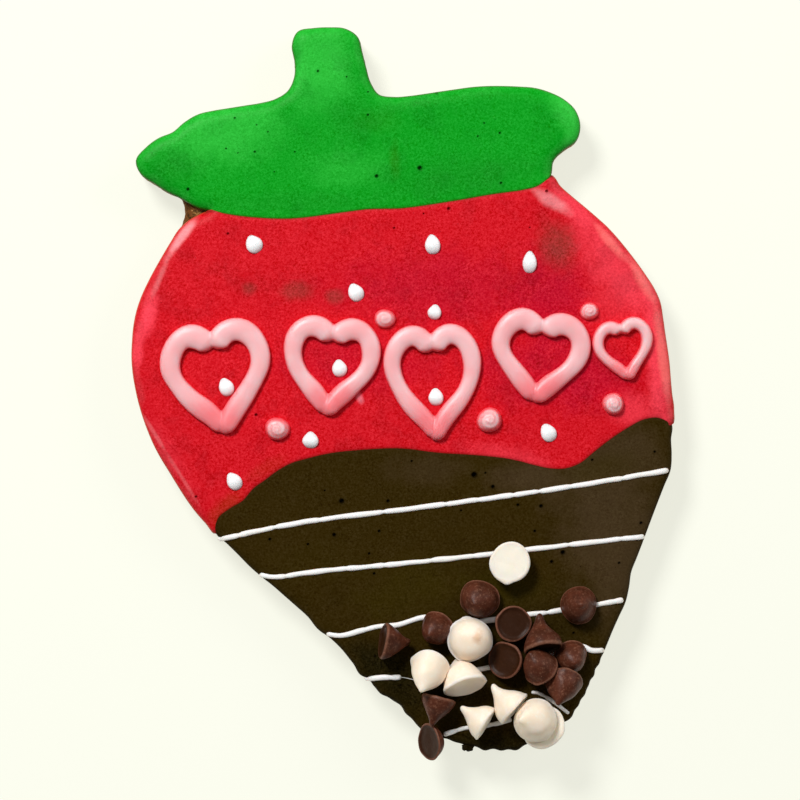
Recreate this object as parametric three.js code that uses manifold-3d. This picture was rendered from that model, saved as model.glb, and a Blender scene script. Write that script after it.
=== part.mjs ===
// A decorated sugar biscuit in the shape of a strawberry, lying flat with its iced side up.
// Millimetres. +X is to the right and +Y towards the stem when the iced side is seen from above, +Z is up.
// The origin is the middle of the flat underside.

import * as THREE from "three";
import Module from "manifold-3d";

const wasm = await Module();
wasm.setup();

// ---- driving dimensions ----

const BISCUIT_THICKNESS = 6.5;
const ICING_THICKNESS = 2.2;
const BISCUIT_MARGIN = 0.1; // how far the biscuit shows past the measured outline
const ICING_MARGIN = 0.2; // how far each field of icing stays inside it
const LAYER_GAP = 0.05; // between flat faces that lie on each other
const REST_GAP = 0.2; // between a chip and what it rests on or beside
const OUTLINE_STEP = 2.5; // length of one facet along an outline

const BISCUIT_BOTTOM = 0;
const ICING_BOTTOM = BISCUIT_THICKNESS + LAYER_GAP;
const ICING_TOP = ICING_BOTTOM + ICING_THICKNESS;

// How the sides round off, from the bottom up: [distance in from the edge, share of the thickness].
const BISCUIT_SIDE = [[0.7, 0], [0.15, 0.06], [0, 0.25], [0, 0.78], [0.3, 0.95], [1, 1]];
const ICING_SIDE = [[0.3, 0], [0, 0.3], [0.5, 0.7], [1.6, 0.93], [3.2, 1]];

// ---- outlines, as knots of smooth curves, anticlockwise round the biscuit ----

// The green cap: from its corner on the right, over the right leaf, the stem and the left leaf.
const CAP_EDGE = [
  [23.6, 34.9], [23.8, 36.6], [24.5, 38.1], [26.4, 39.6], [28.2, 41.2], [28.3, 43.3], [27.2, 46], [25.1, 47.5],
  [21.9, 48.8], [17.9, 49.2], [12.3, 49.2], [7.5, 48.6], [2.7, 47.9], [-1.3, 47.5], [-4.2, 48.1],
  [-5.4, 50.2], [-6.2, 53.2], [-7, 56.1], [-7.8, 57.9], [-10.1, 58.6], [-13.3, 58.6], [-16.5, 58.2],
  [-17.6, 57.1], [-17.7, 55.3], [-17.3, 53.1], [-17.5, 50.2], [-18.9, 48], [-21.3, 46.9], [-26.1, 46],
  [-30.9, 45.2], [-34.1, 44.2], [-36.3, 42.2], [-39.2, 40.9], [-41.6, 39], [-42.8, 37.2],
  [-42.6, 35.9], [-40.5, 34.2], [-38.1, 32.6], [-35.5, 31.3],
];
// The bare notch on the left: the biscuit's own edge, and where the green and the red stop short of it.
const BARE_EDGE = [[-35.5, 31.3], [-35, 29.9], [-35, 28.8], [-35.5, 27.2], [-35.8, 26.4]];
const CAP_BARE_EDGE = [[-35.5, 31.3], [-33, 29.9], [-30.6, 29.2]];
const RED_BARE_EDGE = [[-30.6, 29.2], [-32.5, 28.8], [-34.1, 27.8], [-35.8, 26.4]];
// Where the green cap meets the red, from the notch to the right.
const CAP_SEAM = [
  [-30.6, 29.2], [-26.9, 28.5], [-22.9, 28.1], [-17.6, 28], [-10.1, 28.9], [-5.3, 29.5], [-0.5, 29.6],
  [7.5, 30.7], [13.9, 31.8], [20.3, 32.8], [22.3, 33.6], [23.6, 34.9],
];
// The red field's two sides.
const RED_LEFT_EDGE = [
  [-35.8, 26.4], [-37.3, 24.1], [-38.9, 21.4], [-40.5, 18.5], [-42.1, 15], [-43, 11.8], [-43.4, 7.8],
  [-43.4, 4.6], [-42.7, 0.1], [-41.5, -4.2], [-39.6, -8.8], [-37.3, -12.7], [-34.6, -17], [-32.3, -20],
  [-29.9, -22.3],
];
const RED_RIGHT_EDGE = [
  [43, -4.8], [43.4, -2.3], [43, 0.6], [42.7, 4.6], [41.9, 10.2], [41, 15.3], [39.5, 18], [37, 21.6],
  [33.1, 26.3], [29.9, 29.2], [26.1, 32.4], [24.4, 34], [23.6, 34.9],
];
// Where the red meets the chocolate icing, from left to right.
const DIP_SEAM = [
  [-29.9, -22.3], [-29.8, -20.2], [-27.7, -18.3], [-25.8, -17.2], [-24.5, -15.6], [-21.3, -13.2],
  [-18.9, -11.5], [-16.3, -10.6], [-11.8, -9.5], [-7.4, -9], [-0.5, -8.7], [5.6, -9.4], [11.8, -9.8],
  [17.1, -10.4], [21.6, -11.5], [24.8, -12], [27.7, -11.4], [31.5, -8.5], [33.8, -6.8], [36.3, -5.2],
  [39.5, -3.8], [42.4, -4.2], [43, -4.8],
];
// The chocolate field's edge: down the left, round the pointed end, up the right.
const DIP_EDGE = [
  [-29.9, -22.3], [-27, -25.1], [-23.7, -28.4], [-21.3, -30.3], [-18.1, -33.1], [-14.9, -36],
  [-13.2, -38.1], [-11.5, -39.2], [-8.5, -42.4], [-7, -44.8], [-5.2, -46], [-3.7, -48], [-1.4, -49],
  [0.6, -51.1], [2, -52.8], [3.8, -54.3], [5.9, -55.2], [7.3, -55.2], [10.1, -56.3], [14.1, -56.9],
  [18.5, -56.8], [20.4, -55.7], [23.2, -54.3], [25.8, -52.4], [27.3, -51.3], [28.5, -49],
  [31.5, -42.8], [33.8, -37.3], [36, -32.2], [36.3, -29.3], [37.9, -25], [39.5, -20.7], [41.1, -16.5],
  [42.4, -13.2], [43, -11.6], [43, -9.8], [42.9, -7.4], [43, -4.8],
];

// ---- toppings ----

// Icing seeds on the red: middle, width, length, and the direction of the pointed end in degrees.
const SEED_HEIGHT = 0.7;
const SEEDS = [
  { at: [-23.8, 24.1], width: 2.7, length: 3.1, points: 120 },
  { at: [4.6, 24], width: 2.5, length: 3.4, points: 92 },
  { at: [-7.5, 16.4], width: 2.5, length: 3.2, points: 118 },
  { at: [20.2, 21.2], width: 2.3, length: 3.8, points: 88 },
  { at: [5, 13.2], width: 2.2, length: 2.6, points: 80 },
  { at: [-28.3, 1.2], width: 2.4, length: 3.2, points: 115 },
  { at: [-10.1, 4.2], width: 2.4, length: 3, points: 100 },
  { at: [5.2, -0.4], width: 2.4, length: 3, points: 95 },
  { at: [-14.9, -7.3], width: 2.6, length: 2.8, points: 90 },
  { at: [-27.1, -13.9], width: 2.4, length: 3.2, points: 125 },
  { at: [23.2, -6.1], width: 2.5, length: 3.3, points: 118 },
];

// White drizzle over the chocolate icing, one thin line each.
const DRIZZLE_WIDTH = 1;
const DRIZZLE_HEIGHT = 0.45;
const DRIZZLE = [
  [[-29, -23.2], [-19.6, -21.2], [-12.2, -20], [-0.5, -18.6], [19.1, -16], [29.7, -14.4], [42.4, -12.2]],
  [[-22.9, -28.9], [-20.8, -29.3], [-13.4, -28.4], [-0.5, -27.2], [13.6, -25.7], [28.1, -24], [38.6, -22.8]],
  [
    [-12.2, -38.4], [-10.2, -38.8], [-6.6, -38.2], [-2.6, -36.6], [-0.6, -37.1], [3.6, -35.7],
    [12.9, -36.4], [24.8, -34.7], [35.2, -33],
  ],
  [[-5.4, -45.5], [-0.9, -45.3], [1.5, -45.8], [13.1, -43.9], [28.5, -40.4], [30.2, -41.1], [32.2, -41]],
  [[6.8, -54.5], [9.6, -53.7], [13.4, -53.2], [17.5, -52.1]],
  [[20.4, -48], [21.6, -48.3], [23.3, -49.1], [26.4, -51]],
];

// Pink hearts, each piped as two strokes: middle, outer size, width of the stroke, turn in degrees.
const HEART_HEIGHT = 2.4;
const HEARTS = [
  { at: [-29.5, 1.8], size: [18, 20.2], stroke: 3.5, turn: 8 },
  { at: [-11.6, 3.6], size: [15.8, 17.6], stroke: 3.2, turn: -5 },
  { at: [4.9, 1], size: [15.9, 20.4], stroke: 3.1, turn: 3 },
  { at: [21.7, 5.2], size: [16.2, 16.6], stroke: 3.3, turn: -7 },
  { at: [35.4, 6.6], size: [10, 11], stroke: 2, turn: 10 },
];
// Pink dots between them: middle, width, height.
const DOTS = [
  { at: [-20.1, -5.6], width: 3.9, height: 1.9 },
  { at: [-2.9, 12], width: 3.3, height: 1.6 },
  { at: [13.8, -4.2], width: 4.1, height: 2 },
  { at: [29.8, 13.2], width: 3, height: 1.5 },
  { at: [33.6, -1.6], width: 3.6, height: 1.8 },
];

// Chocolate chips: a flat round base, flanks that swell and then draw in to a soft peak.
const CHIP_SIDE = [[0.92, 0], [1, 0.09], [0.95, 0.27], [0.79, 0.46], [0.52, 0.64], [0.28, 0.79], [0.13, 0.92]];
const CHIP_FACETS = 10;
const CHIP_HEIGHT = 0.76; // as a share of the base's diameter
// at: middle of the chip seen from above. peak: the way its peak points, as [direction, rise] in degrees.
// sunk: how far a chip that stands on its peak is pressed into the icing. Chips lie in the order given.
const DARK_CHIPS = [
  { at: [12.3, -32.8], across: 6.2, peak: [216, 80] },
  { at: [5.5, -37.4], across: 5.3, peak: [219, 68] },
  { at: [-1.4, -39.4], across: 5.6, peak: [-12, -28] },
  { at: [17.6, -36.7], across: 5.6, peak: [200, -80], sunk: 1.5 },
  { at: [22.3, -38.5], across: 5.8, peak: [92, -22] },
  { at: [26.7, -42], across: 5.1, peak: [-55, 66] },
  { at: [28, -33.8], across: 5.8, peak: [60, 87] },
  { at: [25.6, -46.5], across: 5.8, peak: [-104, 56] },
  { at: [16.4, -42.5], across: 5.6, peak: [-5, -60], sunk: 1.2 },
  { at: [5.7, -50.3], across: 5.3, peak: [243, -28] },
  { at: [4.5, -55.6], across: 5.7, peak: [5, -42], sunk: 1.5 },
  { at: [21.9, -43.5], across: 5.5, peak: [128, 42] },
];
const WHITE_CHIPS = [
  { at: [17, -27], across: 6.6, peak: [-80, -86], sunk: 1.6 },
  { at: [9.9, -45.3], across: 6.4, peak: [115, -24] },
  { at: [4.3, -44], across: 6, peak: [250, 48] },
  { at: [11.9, -52.4], across: 5.6, peak: [150, -8] },
  { at: [16.9, -49.4], across: 6.2, peak: [138, -8] },
  { at: [22.4, -53], across: 6.7, peak: [-60, -86], sunk: 1.4 },
  { at: [10.7, -39.1], across: 7.2, peak: [27, 74] },
  { at: [21, -51.9], across: 6.8, peak: [175, 74] },
];
const CHIP_LIFT_STEP = 0.1;
const CHIP_LIFT_MOST = 12;

// ---- colours ----

const finish = (color, roughness) => new THREE.MeshStandardMaterial({ color, roughness, metalness: 0 });
const BAKED = finish(0xb98a52, 0.9);
const GREEN = finish(0x1f9f2b, 0.5);
const RED = finish(0xd11f2c, 0.5);
const CHOCOLATE = finish(0x38280e, 0.6);
const PINK = finish(0xfbb2b3, 0.45);
const DARK = finish(0x4a2a1c, 0.45);
const WHITE = finish(0xfbeed8, 0.45);

// ---- building closed bodies ----

const flat = ([x, y]) => new THREE.Vector2(x, y);
const raised = (point, z) => new THREE.Vector3(point.x, point.y, z);
const radians = THREE.MathUtils.degToRad;

function curveThrough(knots) {
  return new THREE.CatmullRomCurve3(knots.map((knot) => raised(flat(knot), 0)), false, "centripetal");
}

// Evenly spaced points along a smooth curve through knots.
function smooth(knots, step) {
  const curve = curveThrough(knots);
  const count = Math.max(2, Math.round(curve.getLength() / step));
  return curve.getSpacedPoints(count).map((p) => new THREE.Vector2(p.x, p.y));
}

// A closed outline from smooth runs, each of which starts where the last one ends.
function outline(...runs) {
  return runs.flatMap((run) => smooth(run, OUTLINE_STEP).slice(0, -1));
}

const backwards = (run) => [...run].reverse();

// The unit vector into the outline at each of its points.
function inward(points) {
  const count = points.length;
  return points.map((point, i) => {
    const ahead = points[(i + 1) % count].clone().sub(point).normalize();
    const behind = point.clone().sub(points[(i + count - 1) % count]).normalize();
    const along = ahead.add(behind).normalize();
    return new THREE.Vector2(-along.y, along.x);
  });
}

// How far each point can move inward, up to a greatest inset: it stops short of the far side, and of where
// its step to the next point would turn round, so that insets never cross.
function room(points, normals, deepest) {
  const [SHARE, SHRINK, LEAST_STEP, PASSES] = [0.8, 0.85, 0.15, 40];
  const most = points.map((point, i) => {
    let least = deepest;
    for (const other of points) {
      const across = other.clone().sub(point);
      const facing = across.dot(normals[i]);
      if (facing > 1e-6) least = Math.min(least, (SHARE * across.lengthSq()) / (2 * facing));
    }
    return least;
  });
  for (let pass = 0; pass < PASSES; pass++) {
    points.forEach((point, i) => {
      const j = (i + 1) % points.length;
      const step = points[j].clone().sub(point);
      const moved = step.clone().addScaledVector(normals[j], most[j]).addScaledVector(normals[i], -most[i]);
      if (moved.dot(step) > LEAST_STEP * step.lengthSq()) return;
      most[i] *= SHRINK;
      most[j] *= SHRINK;
    });
  }
  return most;
}

// A closed body from rings of points, each anticlockwise seen from the next. A ring of one point closes an end
// as a tip, and a full ring closes it with a flat face.
function loft(rings) {
  const starts = [];
  const vertices = [];
  for (const ring of rings) {
    starts.push(vertices.length);
    vertices.push(...ring);
  }
  const faces = [];
  for (let k = 0; k + 1 < rings.length; k++) {
    const [low, high] = [starts[k], starts[k + 1]];
    const [lowCount, highCount] = [rings[k].length, rings[k + 1].length];
    const count = Math.max(lowCount, highCount);
    for (let i = 0; i < count; i++) {
      const j = (i + 1) % count;
      if (lowCount > 1) faces.push([low + i, low + j, high + (highCount > 1 ? j : 0)]);
      if (highCount > 1) faces.push([low + (lowCount > 1 ? i : 0), high + j, high + i]);
    }
  }
  const last = rings.length - 1;
  if (rings[0].length > 1) {
    const cap = THREE.ShapeUtils.triangulateShape(rings[0].map((p) => new THREE.Vector2(p.x, p.y)), []);
    faces.push(...cap.map(([a, b, c]) => [a, c, b]));
  }
  if (rings[last].length > 1) {
    const cap = THREE.ShapeUtils.triangulateShape(rings[last].map((p) => new THREE.Vector2(p.x, p.y)), []);
    faces.push(...cap.map((face) => face.map((index) => starts[last] + index)));
  }
  return toSolid(vertices, faces);
}

function toSolid(vertices, faces) {
  const vertProperties = new Float32Array(vertices.flatMap((v) => [v.x, v.y, v.z]));
  const triVerts = new Uint32Array(faces.flat());
  return new wasm.Manifold(new wasm.Mesh({ numProp: 3, vertProperties, triVerts }));
}

function toGeometry(solid) {
  const { vertProperties, triVerts } = solid.getMesh();
  const geometry = new THREE.BufferGeometry();
  geometry.setAttribute("position", new THREE.BufferAttribute(new Float32Array(vertProperties), 3));
  geometry.setIndex(new THREE.BufferAttribute(new Uint32Array(triVerts), 1));
  geometry.computeVertexNormals();
  return geometry;
}

// A slab with rounded sides over an outline. A margin over 0 draws the whole slab in from the outline.
function slab(points, side, margin, bottom, thickness) {
  const normals = inward(points);
  const most = room(points, normals, margin + Math.max(...side.map(([inset]) => inset)));
  return loft(side.map(([inset, share]) => points.map((point, i) => {
    const by = Math.min(inset + margin, most[i]);
    return raised(point.clone().addScaledVector(normals[i], by), bottom + share * thickness);
  })));
}

// A piped stroke: a flat-bottomed round bead along a path, drawn in to a tip at both ends. swell gives its
// width as a share of the full one, from 0 at the start to 1 at the end.
function stroke(path, width, bottom, height, swell = () => 1) {
  const SIDES = 6;
  const count = path.length;
  const reach = [0];
  for (let i = 1; i < count; i++) reach.push(reach[i - 1] + path[i].distanceTo(path[i - 1]));
  const length = reach[count - 1];
  const rings = path.map((point, i) => {
    if (i === 0 || i === count - 1) return [raised(point, bottom)];
    const along = path[i + 1].clone().sub(path[i - 1]).normalize();
    const toEnd = Math.min(reach[i], length - reach[i]);
    const round = Math.sqrt(1 - Math.max(0, 1 - toEnd / (width / 2)) ** 2);
    const share = round * swell(reach[i] / length);
    const ring = [];
    for (let s = 0; s < SIDES; s++) {
      const turn = (Math.PI * s) / (SIDES - 1);
      const left = Math.cos(turn) * (width / 2) * share;
      const at = new THREE.Vector2(point.x - along.y * left, point.y + along.x * left);
      ring.push(raised(at, bottom + Math.sin(turn) * height * Math.sqrt(share)));
    }
    return ring;
  });
  return loft(rings);
}

// A path with extra points near both ends, so that a stroke's ends come out round.
function strokePath(curve, width, step) {
  const length = curve.getLength();
  const END_SHARES = [0, 0.12, 0.5, 1];
  const marks = END_SHARES.map((share) => (share * width) / 2);
  const middle = Math.max(1, Math.round((length - width) / step));
  const reach = [...marks];
  for (let i = 1; i < middle; i++) reach.push(width / 2 + (i / middle) * (length - width));
  reach.push(...marks.map((mark) => length - mark).reverse());
  return reach.map((distance) => {
    const p = curve.getPointAt(THREE.MathUtils.clamp(distance / length, 0, 1));
    return new THREE.Vector2(p.x, p.y);
  });
}

// ---- the pieces ----

const cookie = outline(CAP_EDGE, BARE_EDGE, RED_LEFT_EDGE, DIP_EDGE, RED_RIGHT_EDGE);
const capField = outline(CAP_EDGE, CAP_BARE_EDGE, CAP_SEAM);
const redField = outline(
  RED_LEFT_EDGE, DIP_SEAM, RED_RIGHT_EDGE, backwards(CAP_SEAM), RED_BARE_EDGE,
);
const dipField = outline(DIP_EDGE, backwards(DIP_SEAM));
const icing = (field) => slab(field, ICING_SIDE, ICING_MARGIN, ICING_BOTTOM, ICING_THICKNESS);

// A drop of icing that is full at one end and pointed at the other.
function seed({ at, width, length, points }) {
  const way = new THREE.Vector2(Math.cos(radians(points)), Math.sin(radians(points)));
  const SHARES = [0, 0.08, 0.3, 0.6, 0.85, 1];
  const path = SHARES.map((share) => flat(at).addScaledVector(way, (share - 0.5) * length));
  const SUNK = 0.3;
  return stroke(path, width, ICING_TOP - SUNK, SEED_HEIGHT + SUNK, (t) => 1 - 0.6 * t ** 2);
}

function drizzle(knots) {
  const [SUNK, STEP] = [0.25, 4];
  const path = strokePath(curveThrough(knots), DRIZZLE_WIDTH, STEP);
  return stroke(path, DRIZZLE_WIDTH, ICING_TOP - SUNK, DRIZZLE_HEIGHT + SUNK);
}

// Half of a heart's centre line, from the notch over one lobe to the point. side is 1 or -1.
function heartHalf({ at, size, stroke: width, turn }, side) {
  const points = [];
  const [START, END, STEPS] = [0.44, Math.PI * 0.985, 12];
  const [HALF_WIDTH, TOP, POINT] = [16, 11.9, -17];
  const across = (size[0] - width) / (2 * HALF_WIDTH);
  const upward = (size[1] - width) / (TOP - POINT);
  for (let i = 0; i <= STEPS; i++) {
    const t = START + ((END - START) * i) / STEPS;
    const x = HALF_WIDTH * Math.sin(t) ** 3 * across * side;
    const wave = 13 * Math.cos(t) - 5 * Math.cos(2 * t) - 2 * Math.cos(3 * t) - Math.cos(4 * t);
    const y = (wave - (TOP + POINT) / 2) * upward;
    const point = new THREE.Vector2(x, y).rotateAround(new THREE.Vector2(), radians(turn)).add(flat(at));
    points.push(point.toArray());
  }
  return curveThrough(points);
}

function heart(dims) {
  const STEP = 1.6;
  const half = (side) => {
    const path = strokePath(heartHalf(dims, side), dims.stroke, STEP);
    return stroke(path, dims.stroke, ICING_TOP + LAYER_GAP, HEART_HEIGHT, (t) => 1.04 - 0.16 * t);
  };
  return half(1).add(half(-1));
}

function dot({ at, width, height }) {
  const FACETS = 10;
  const SIDE = [[0.94, 0], [1, 0.3], [0.78, 0.74], [0.36, 0.96]];
  const bottom = ICING_TOP + LAYER_GAP;
  return loft([
    ...SIDE.map(([share, rise]) => ringOf(FACETS, (share * width) / 2, bottom + rise * height, flat(at))),
    [raised(flat(at), bottom + height)],
  ]);
}

function ringOf(count, radius, z, middle = new THREE.Vector2()) {
  const ring = [];
  for (let i = 0; i < count; i++) {
    const turn = (2 * Math.PI * i) / count;
    const point = new THREE.Vector2(Math.cos(turn), Math.sin(turn)).multiplyScalar(radius).add(middle);
    ring.push(raised(point, z));
  }
  return ring;
}

// The rings of a chip that points the way its peak does, from the middle of its base to its peak. grown makes
// it larger by that much all round.
function chipRings({ across, peak }, grown) {
  const height = across * CHIP_HEIGHT;
  const rings = CHIP_SIDE.map(([share, rise]) => {
    return ringOf(CHIP_FACETS, (share * across) / 2 + grown, rise * height + (2 * rise - 1) * grown);
  });
  const whole = [[new THREE.Vector3(0, 0, -grown)], ...rings, [new THREE.Vector3(0, 0, height + grown)]];
  const [direction, rise] = peak.map(radians);
  const way = new THREE.Vector3().setFromSphericalCoords(1, Math.PI / 2 - rise, 0);
  way.set(Math.cos(direction) * way.z, Math.sin(direction) * way.z, way.y);
  const lie = new THREE.Quaternion().setFromUnitVectors(new THREE.Vector3(0, 0, 1), way);
  return whole.map((ring) => ring.map((point) => point.applyQuaternion(lie)));
}

// A chip with its middle over its place and the lowest point of the true-size chip at a given height.
function chip(dims, lowest, grown = 0) {
  const trueSize = new THREE.Box3().setFromPoints(chipRings(dims, 0).flat());
  const middle = trueSize.getCenter(new THREE.Vector3());
  const move = new THREE.Vector3(dims.at[0] - middle.x, dims.at[1] - middle.y, lowest - trueSize.min.z);
  return loft(chipRings(dims, grown).map((ring) => ring.map((point) => point.add(move))));
}

// How high a chip's lowest point comes to lie: at the first height where it is clear of what is there already.
function restingHeight(dims, others) {
  const start = ICING_TOP - (dims.sunk ?? 0);
  for (let lift = 0; lift < CHIP_LIFT_MOST; lift += CHIP_LIFT_STEP) {
    const trial = chip(dims, start + lift, REST_GAP);
    if (others.every((other) => trial.intersect(other).isEmpty())) return start + lift;
  }
  throw new Error(`no room for the chip at ${dims.at}`);
}

// ---- the whole biscuit ----

const strawberry = new THREE.Group();

function add(name, solid, material) {
  const mesh = new THREE.Mesh(toGeometry(solid), material);
  mesh.name = name;
  strawberry.add(mesh);
}

const numbered = (name, index) => `${name}_${String(index + 1).padStart(2, "0")}`;

const redIcing = SEEDS.reduce((whole, dims) => whole.add(seed(dims)), icing(redField));
const drizzled = DRIZZLE.reduce((whole, knots) => whole.add(drizzle(knots)), icing(dipField));

add("biscuit", slab(cookie, BISCUIT_SIDE, -BISCUIT_MARGIN, BISCUIT_BOTTOM, BISCUIT_THICKNESS), BAKED);
add("icing_green", icing(capField), GREEN);
add("icing_red", redIcing, RED);
HEARTS.forEach((dims, index) => add(numbered("piped_heart", index), heart(dims), PINK));
DOTS.forEach((dims, index) => add(numbered("piped_dot", index), dot(dims), PINK));

const placed = [];
let chocolateIcing = drizzled;
for (const [name, chips, material] of [["chip_dark", DARK_CHIPS, DARK], ["chip_white", WHITE_CHIPS, WHITE]]) {
  chips.forEach((dims, index) => {
    const height = restingHeight(dims, dims.sunk ? placed : [...placed, drizzled]);
    if (dims.sunk) chocolateIcing = chocolateIcing.subtract(chip(dims, height, REST_GAP));
    const solid = chip(dims, height);
    placed.push(solid);
    add(numbered(name, index), solid, material);
  });
}
add("icing_chocolate", chocolateIcing, CHOCOLATE);

export default strawberry;
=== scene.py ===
"""A decorated sugar cookie in the shape of a strawberry, laid out as a Blender add-on.

The baked cookie carries three fields of icing, and on them seeds, drizzle, piped hearts and dots, and
chocolate chips. Shapes are worked out in millimetres and turned into metres when a piece is made.
"""

import math
import random

import bpy
import numpy as np
from bpy.props import FloatProperty, FloatVectorProperty, PointerProperty
from mathutils import Matrix, Vector, geometry


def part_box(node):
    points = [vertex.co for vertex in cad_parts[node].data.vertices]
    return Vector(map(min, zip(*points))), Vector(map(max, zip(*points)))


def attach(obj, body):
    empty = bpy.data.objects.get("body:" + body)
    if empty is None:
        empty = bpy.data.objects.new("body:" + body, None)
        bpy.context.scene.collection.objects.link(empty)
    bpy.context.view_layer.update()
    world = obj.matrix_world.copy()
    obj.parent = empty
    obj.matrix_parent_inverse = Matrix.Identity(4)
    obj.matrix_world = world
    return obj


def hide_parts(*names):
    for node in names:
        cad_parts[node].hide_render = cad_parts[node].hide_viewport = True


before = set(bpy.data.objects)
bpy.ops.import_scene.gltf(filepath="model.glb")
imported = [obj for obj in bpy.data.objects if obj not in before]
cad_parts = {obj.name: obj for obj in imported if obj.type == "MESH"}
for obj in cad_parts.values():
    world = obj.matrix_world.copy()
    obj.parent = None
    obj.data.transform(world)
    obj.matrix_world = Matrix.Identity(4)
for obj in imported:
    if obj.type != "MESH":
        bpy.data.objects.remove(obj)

bl_info = {
    "name": "Strawberry cookie",
    "version": (1, 0, 0),
    "blender": (4, 5, 0),
    "location": "3D View > Sidebar > Cookie",
    "description": "Makes an iced strawberry cookie, piece by piece, and the stage that it lies on",
    "category": "Add Mesh",
}

MM = 0.001  # one millimetre in metres

# ---- heights, read from the frame, in millimetres ----

BISCUIT_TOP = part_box("biscuit")[1].z / MM
ICING_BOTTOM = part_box("icing_green")[0].z / MM
ICING_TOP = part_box("icing_green")[1].z / MM

# How the sides round off, from the bottom up: [distance in from the edge, share of the height].
BISCUIT_SIDE = [
    [1.6, 0], [0.7, 0], [0.28, 0.03], [0.08, 0.1], [0, 0.25], [0, 0.78], [0.12, 0.88], [0.4, 0.96],
    [1, 1],
]
ICING_UNDERSIDE = [[0, 0.27], [0.04, 0.16], [0.14, 0.06], [0.4, -0.05]]
WIDEST_BISCUIT = 0.25  # share of its height at which the biscuit's outline is read
WIDEST_ICING = 0.3  # the same for the icing
ICING_ROUND = 2.2  # how square the icing's edge is: 2 is a quarter circle

# ---- the icing's edges, in millimetres ----

RIM_MARK = 2.4  # how far in from the outer edge the mark 'rim' fades from 1 to 0
MEETING = 0.75  # how near two fields' outlines are where they meet
OVERLAP = 0.24  # how far the upper field runs out there
UNDERLAP = 0.52  # how far the lower field runs on under it
LOWER_SEAM = {"width": 2.4, "depth": 1.25}  # the lower field's crease, against the upper one's
# The dark line at a seam is partly painted shade in the crease under the upper field's edge, and partly the
# darker colour where the two fields meet.
SEAM_MARK = {"in": 0.2, "width": 0.22}  # the dark line at a seam, and how far in it lies on the lower field
RAGGED = 0.13  # how uneven the outer edge is at the cookie's foot
RAGGED_BELOW = -40  # y below which it turns uneven
RAGGED_FADE = 6  # the stretch of y over which it does

# ---- marks in the icing, seen from above: [x, y, radius], in millimetres ----

PITS = {
    "green": [
        [-13.6, 51.6, 0.24], [-9, 50.7, 0.16], [-5.6, 48.3, 0.16], [5.4, 48.1, 0.24],
        [-26.9, 44.1, 0.2], [-23.4, 43, 0.14], [-21.6, 41.9, 0.14], [-28.3, 39.2, 0.18],
        [-26.4, 38.5, 0.14], [-23.7, 38.7, 0.22], [-17.3, 38.7, 0.16], [-20.6, 35.5, 0.14],
        [-5.6, 44.6, 0.22], [2.7, 36.1, 0.42], [13, 43.3, 0.18], [15.5, 41.7, 0.22], [12, 41.2, 0.18],
        [-4.2, 34.8, 0.34], [15.7, 33.7, 0.24], [-34.4, 32.7, 0.3],
    ],
    "red": [
        [-28, 25.6, 0.24], [-1.4, 26.5, 0.22], [7.3, 29.6, 0.3], [3.3, 28.8, 0.18], [23, 32.4, 0.28],
        [-23.5, -3.4, 0.28], [-33.1, -16.5, 0.24], [20.3, 26.6, 0.16], [-37.6, 1.4, 0.2],
    ],
    "chocolate": [
        [-9.8, -17.2, 0.44], [-2.4, -17.2, 0.3], [-21.3, -23.3, 0.28], [-15.2, -24.1, 0.24],
        [-11, -22.6, 0.34], [-3.8, -22, 0.26], [-5.4, -25.6, 0.24], [-4.6, -28.8, 0.26],
        [-12.5, -15.5, 0.18], [11.4, -13, 0.5], [14.4, -14.9, 0.34], [18.4, -17.8, 0.28],
        [22.1, -18, 0.34], [21.1, -22, 0.26], [23.8, -26.9, 0.3], [13.2, -12.7, 0.2],
        [30.3, -10.6, 0.24], [40.3, -9.3, 0.24], [38.1, -20.7, 0.28], [34.6, -27.1, 0.24],
        [25.6, -25.4, 0.4], [9.3, -18.7, 0.2], [1.4, -10.8, 0.22], [27.3, -38.3, 0.24],
    ],
}
BUBBLES = {
    "green": [[14.7, 44.1, 0.26]],
    "red": [[-38.7, 14.7, 0.22], [-25, 10.2, 0.2]],
    "chocolate": [[-15.4, -33.7, 0.22], [-5.8, -10.3, 0.28], [27.4, -25.7, 0.18]],
}
PIT_DEPTH = 1.6  # as a share of its radius
PIT_WALL = 0.5  # how wide its sloping wall is, in radii
PIT_LIP = 0.02  # how far the icing rises round it
# Painted shade in a pit: how far out it reaches, and from what radius the pit looks quite dark.
PIT_MARK = 1.5  # how far out a pit is darkened, in radii
DEEP_PIT = 0.4  # radius from which a pit looks quite dark
BUBBLE_HEIGHT = 0.12

# Soft patches of colour, some painted light or shade: [x, y, width, height, turn in degrees, strength].
# Paler green: partly painted light on the icing's swells, partly paler tone.
GREEN_PALE_AND_LIT = [
    [-13, 53, 12, 18, 0, 0.9], [-29, 41.5, 24, 11, 12, 0.8], [-9, 36, 16, 7, 0, 0.4],
    [26.3, 45, 5, 8, 35, 1], [27.2, 41.6, 2.6, 7, -14, 0.8],
]
# Deeper green: partly painted shade in the icing's dents, partly deeper tone.
GREEN_DEEP_AND_SHADED = [
    [10, 34.5, 30, 8, 8, 0.8], [-38, 35, 12, 8, 30, 0.8], [-18, 30.5, 34, 4, 0, 0.5],
    [-9, 44, 9, 8, 0, 0.6], [-17.2, 54.4, 1.8, 5, 0, 0.5],
]
GREEN_SMEARS = [[-1.3, 37.7, 2, 6.4, 0, 0.5], [-4, 43.5, 8, 5, 0, 0.2]]
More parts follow.
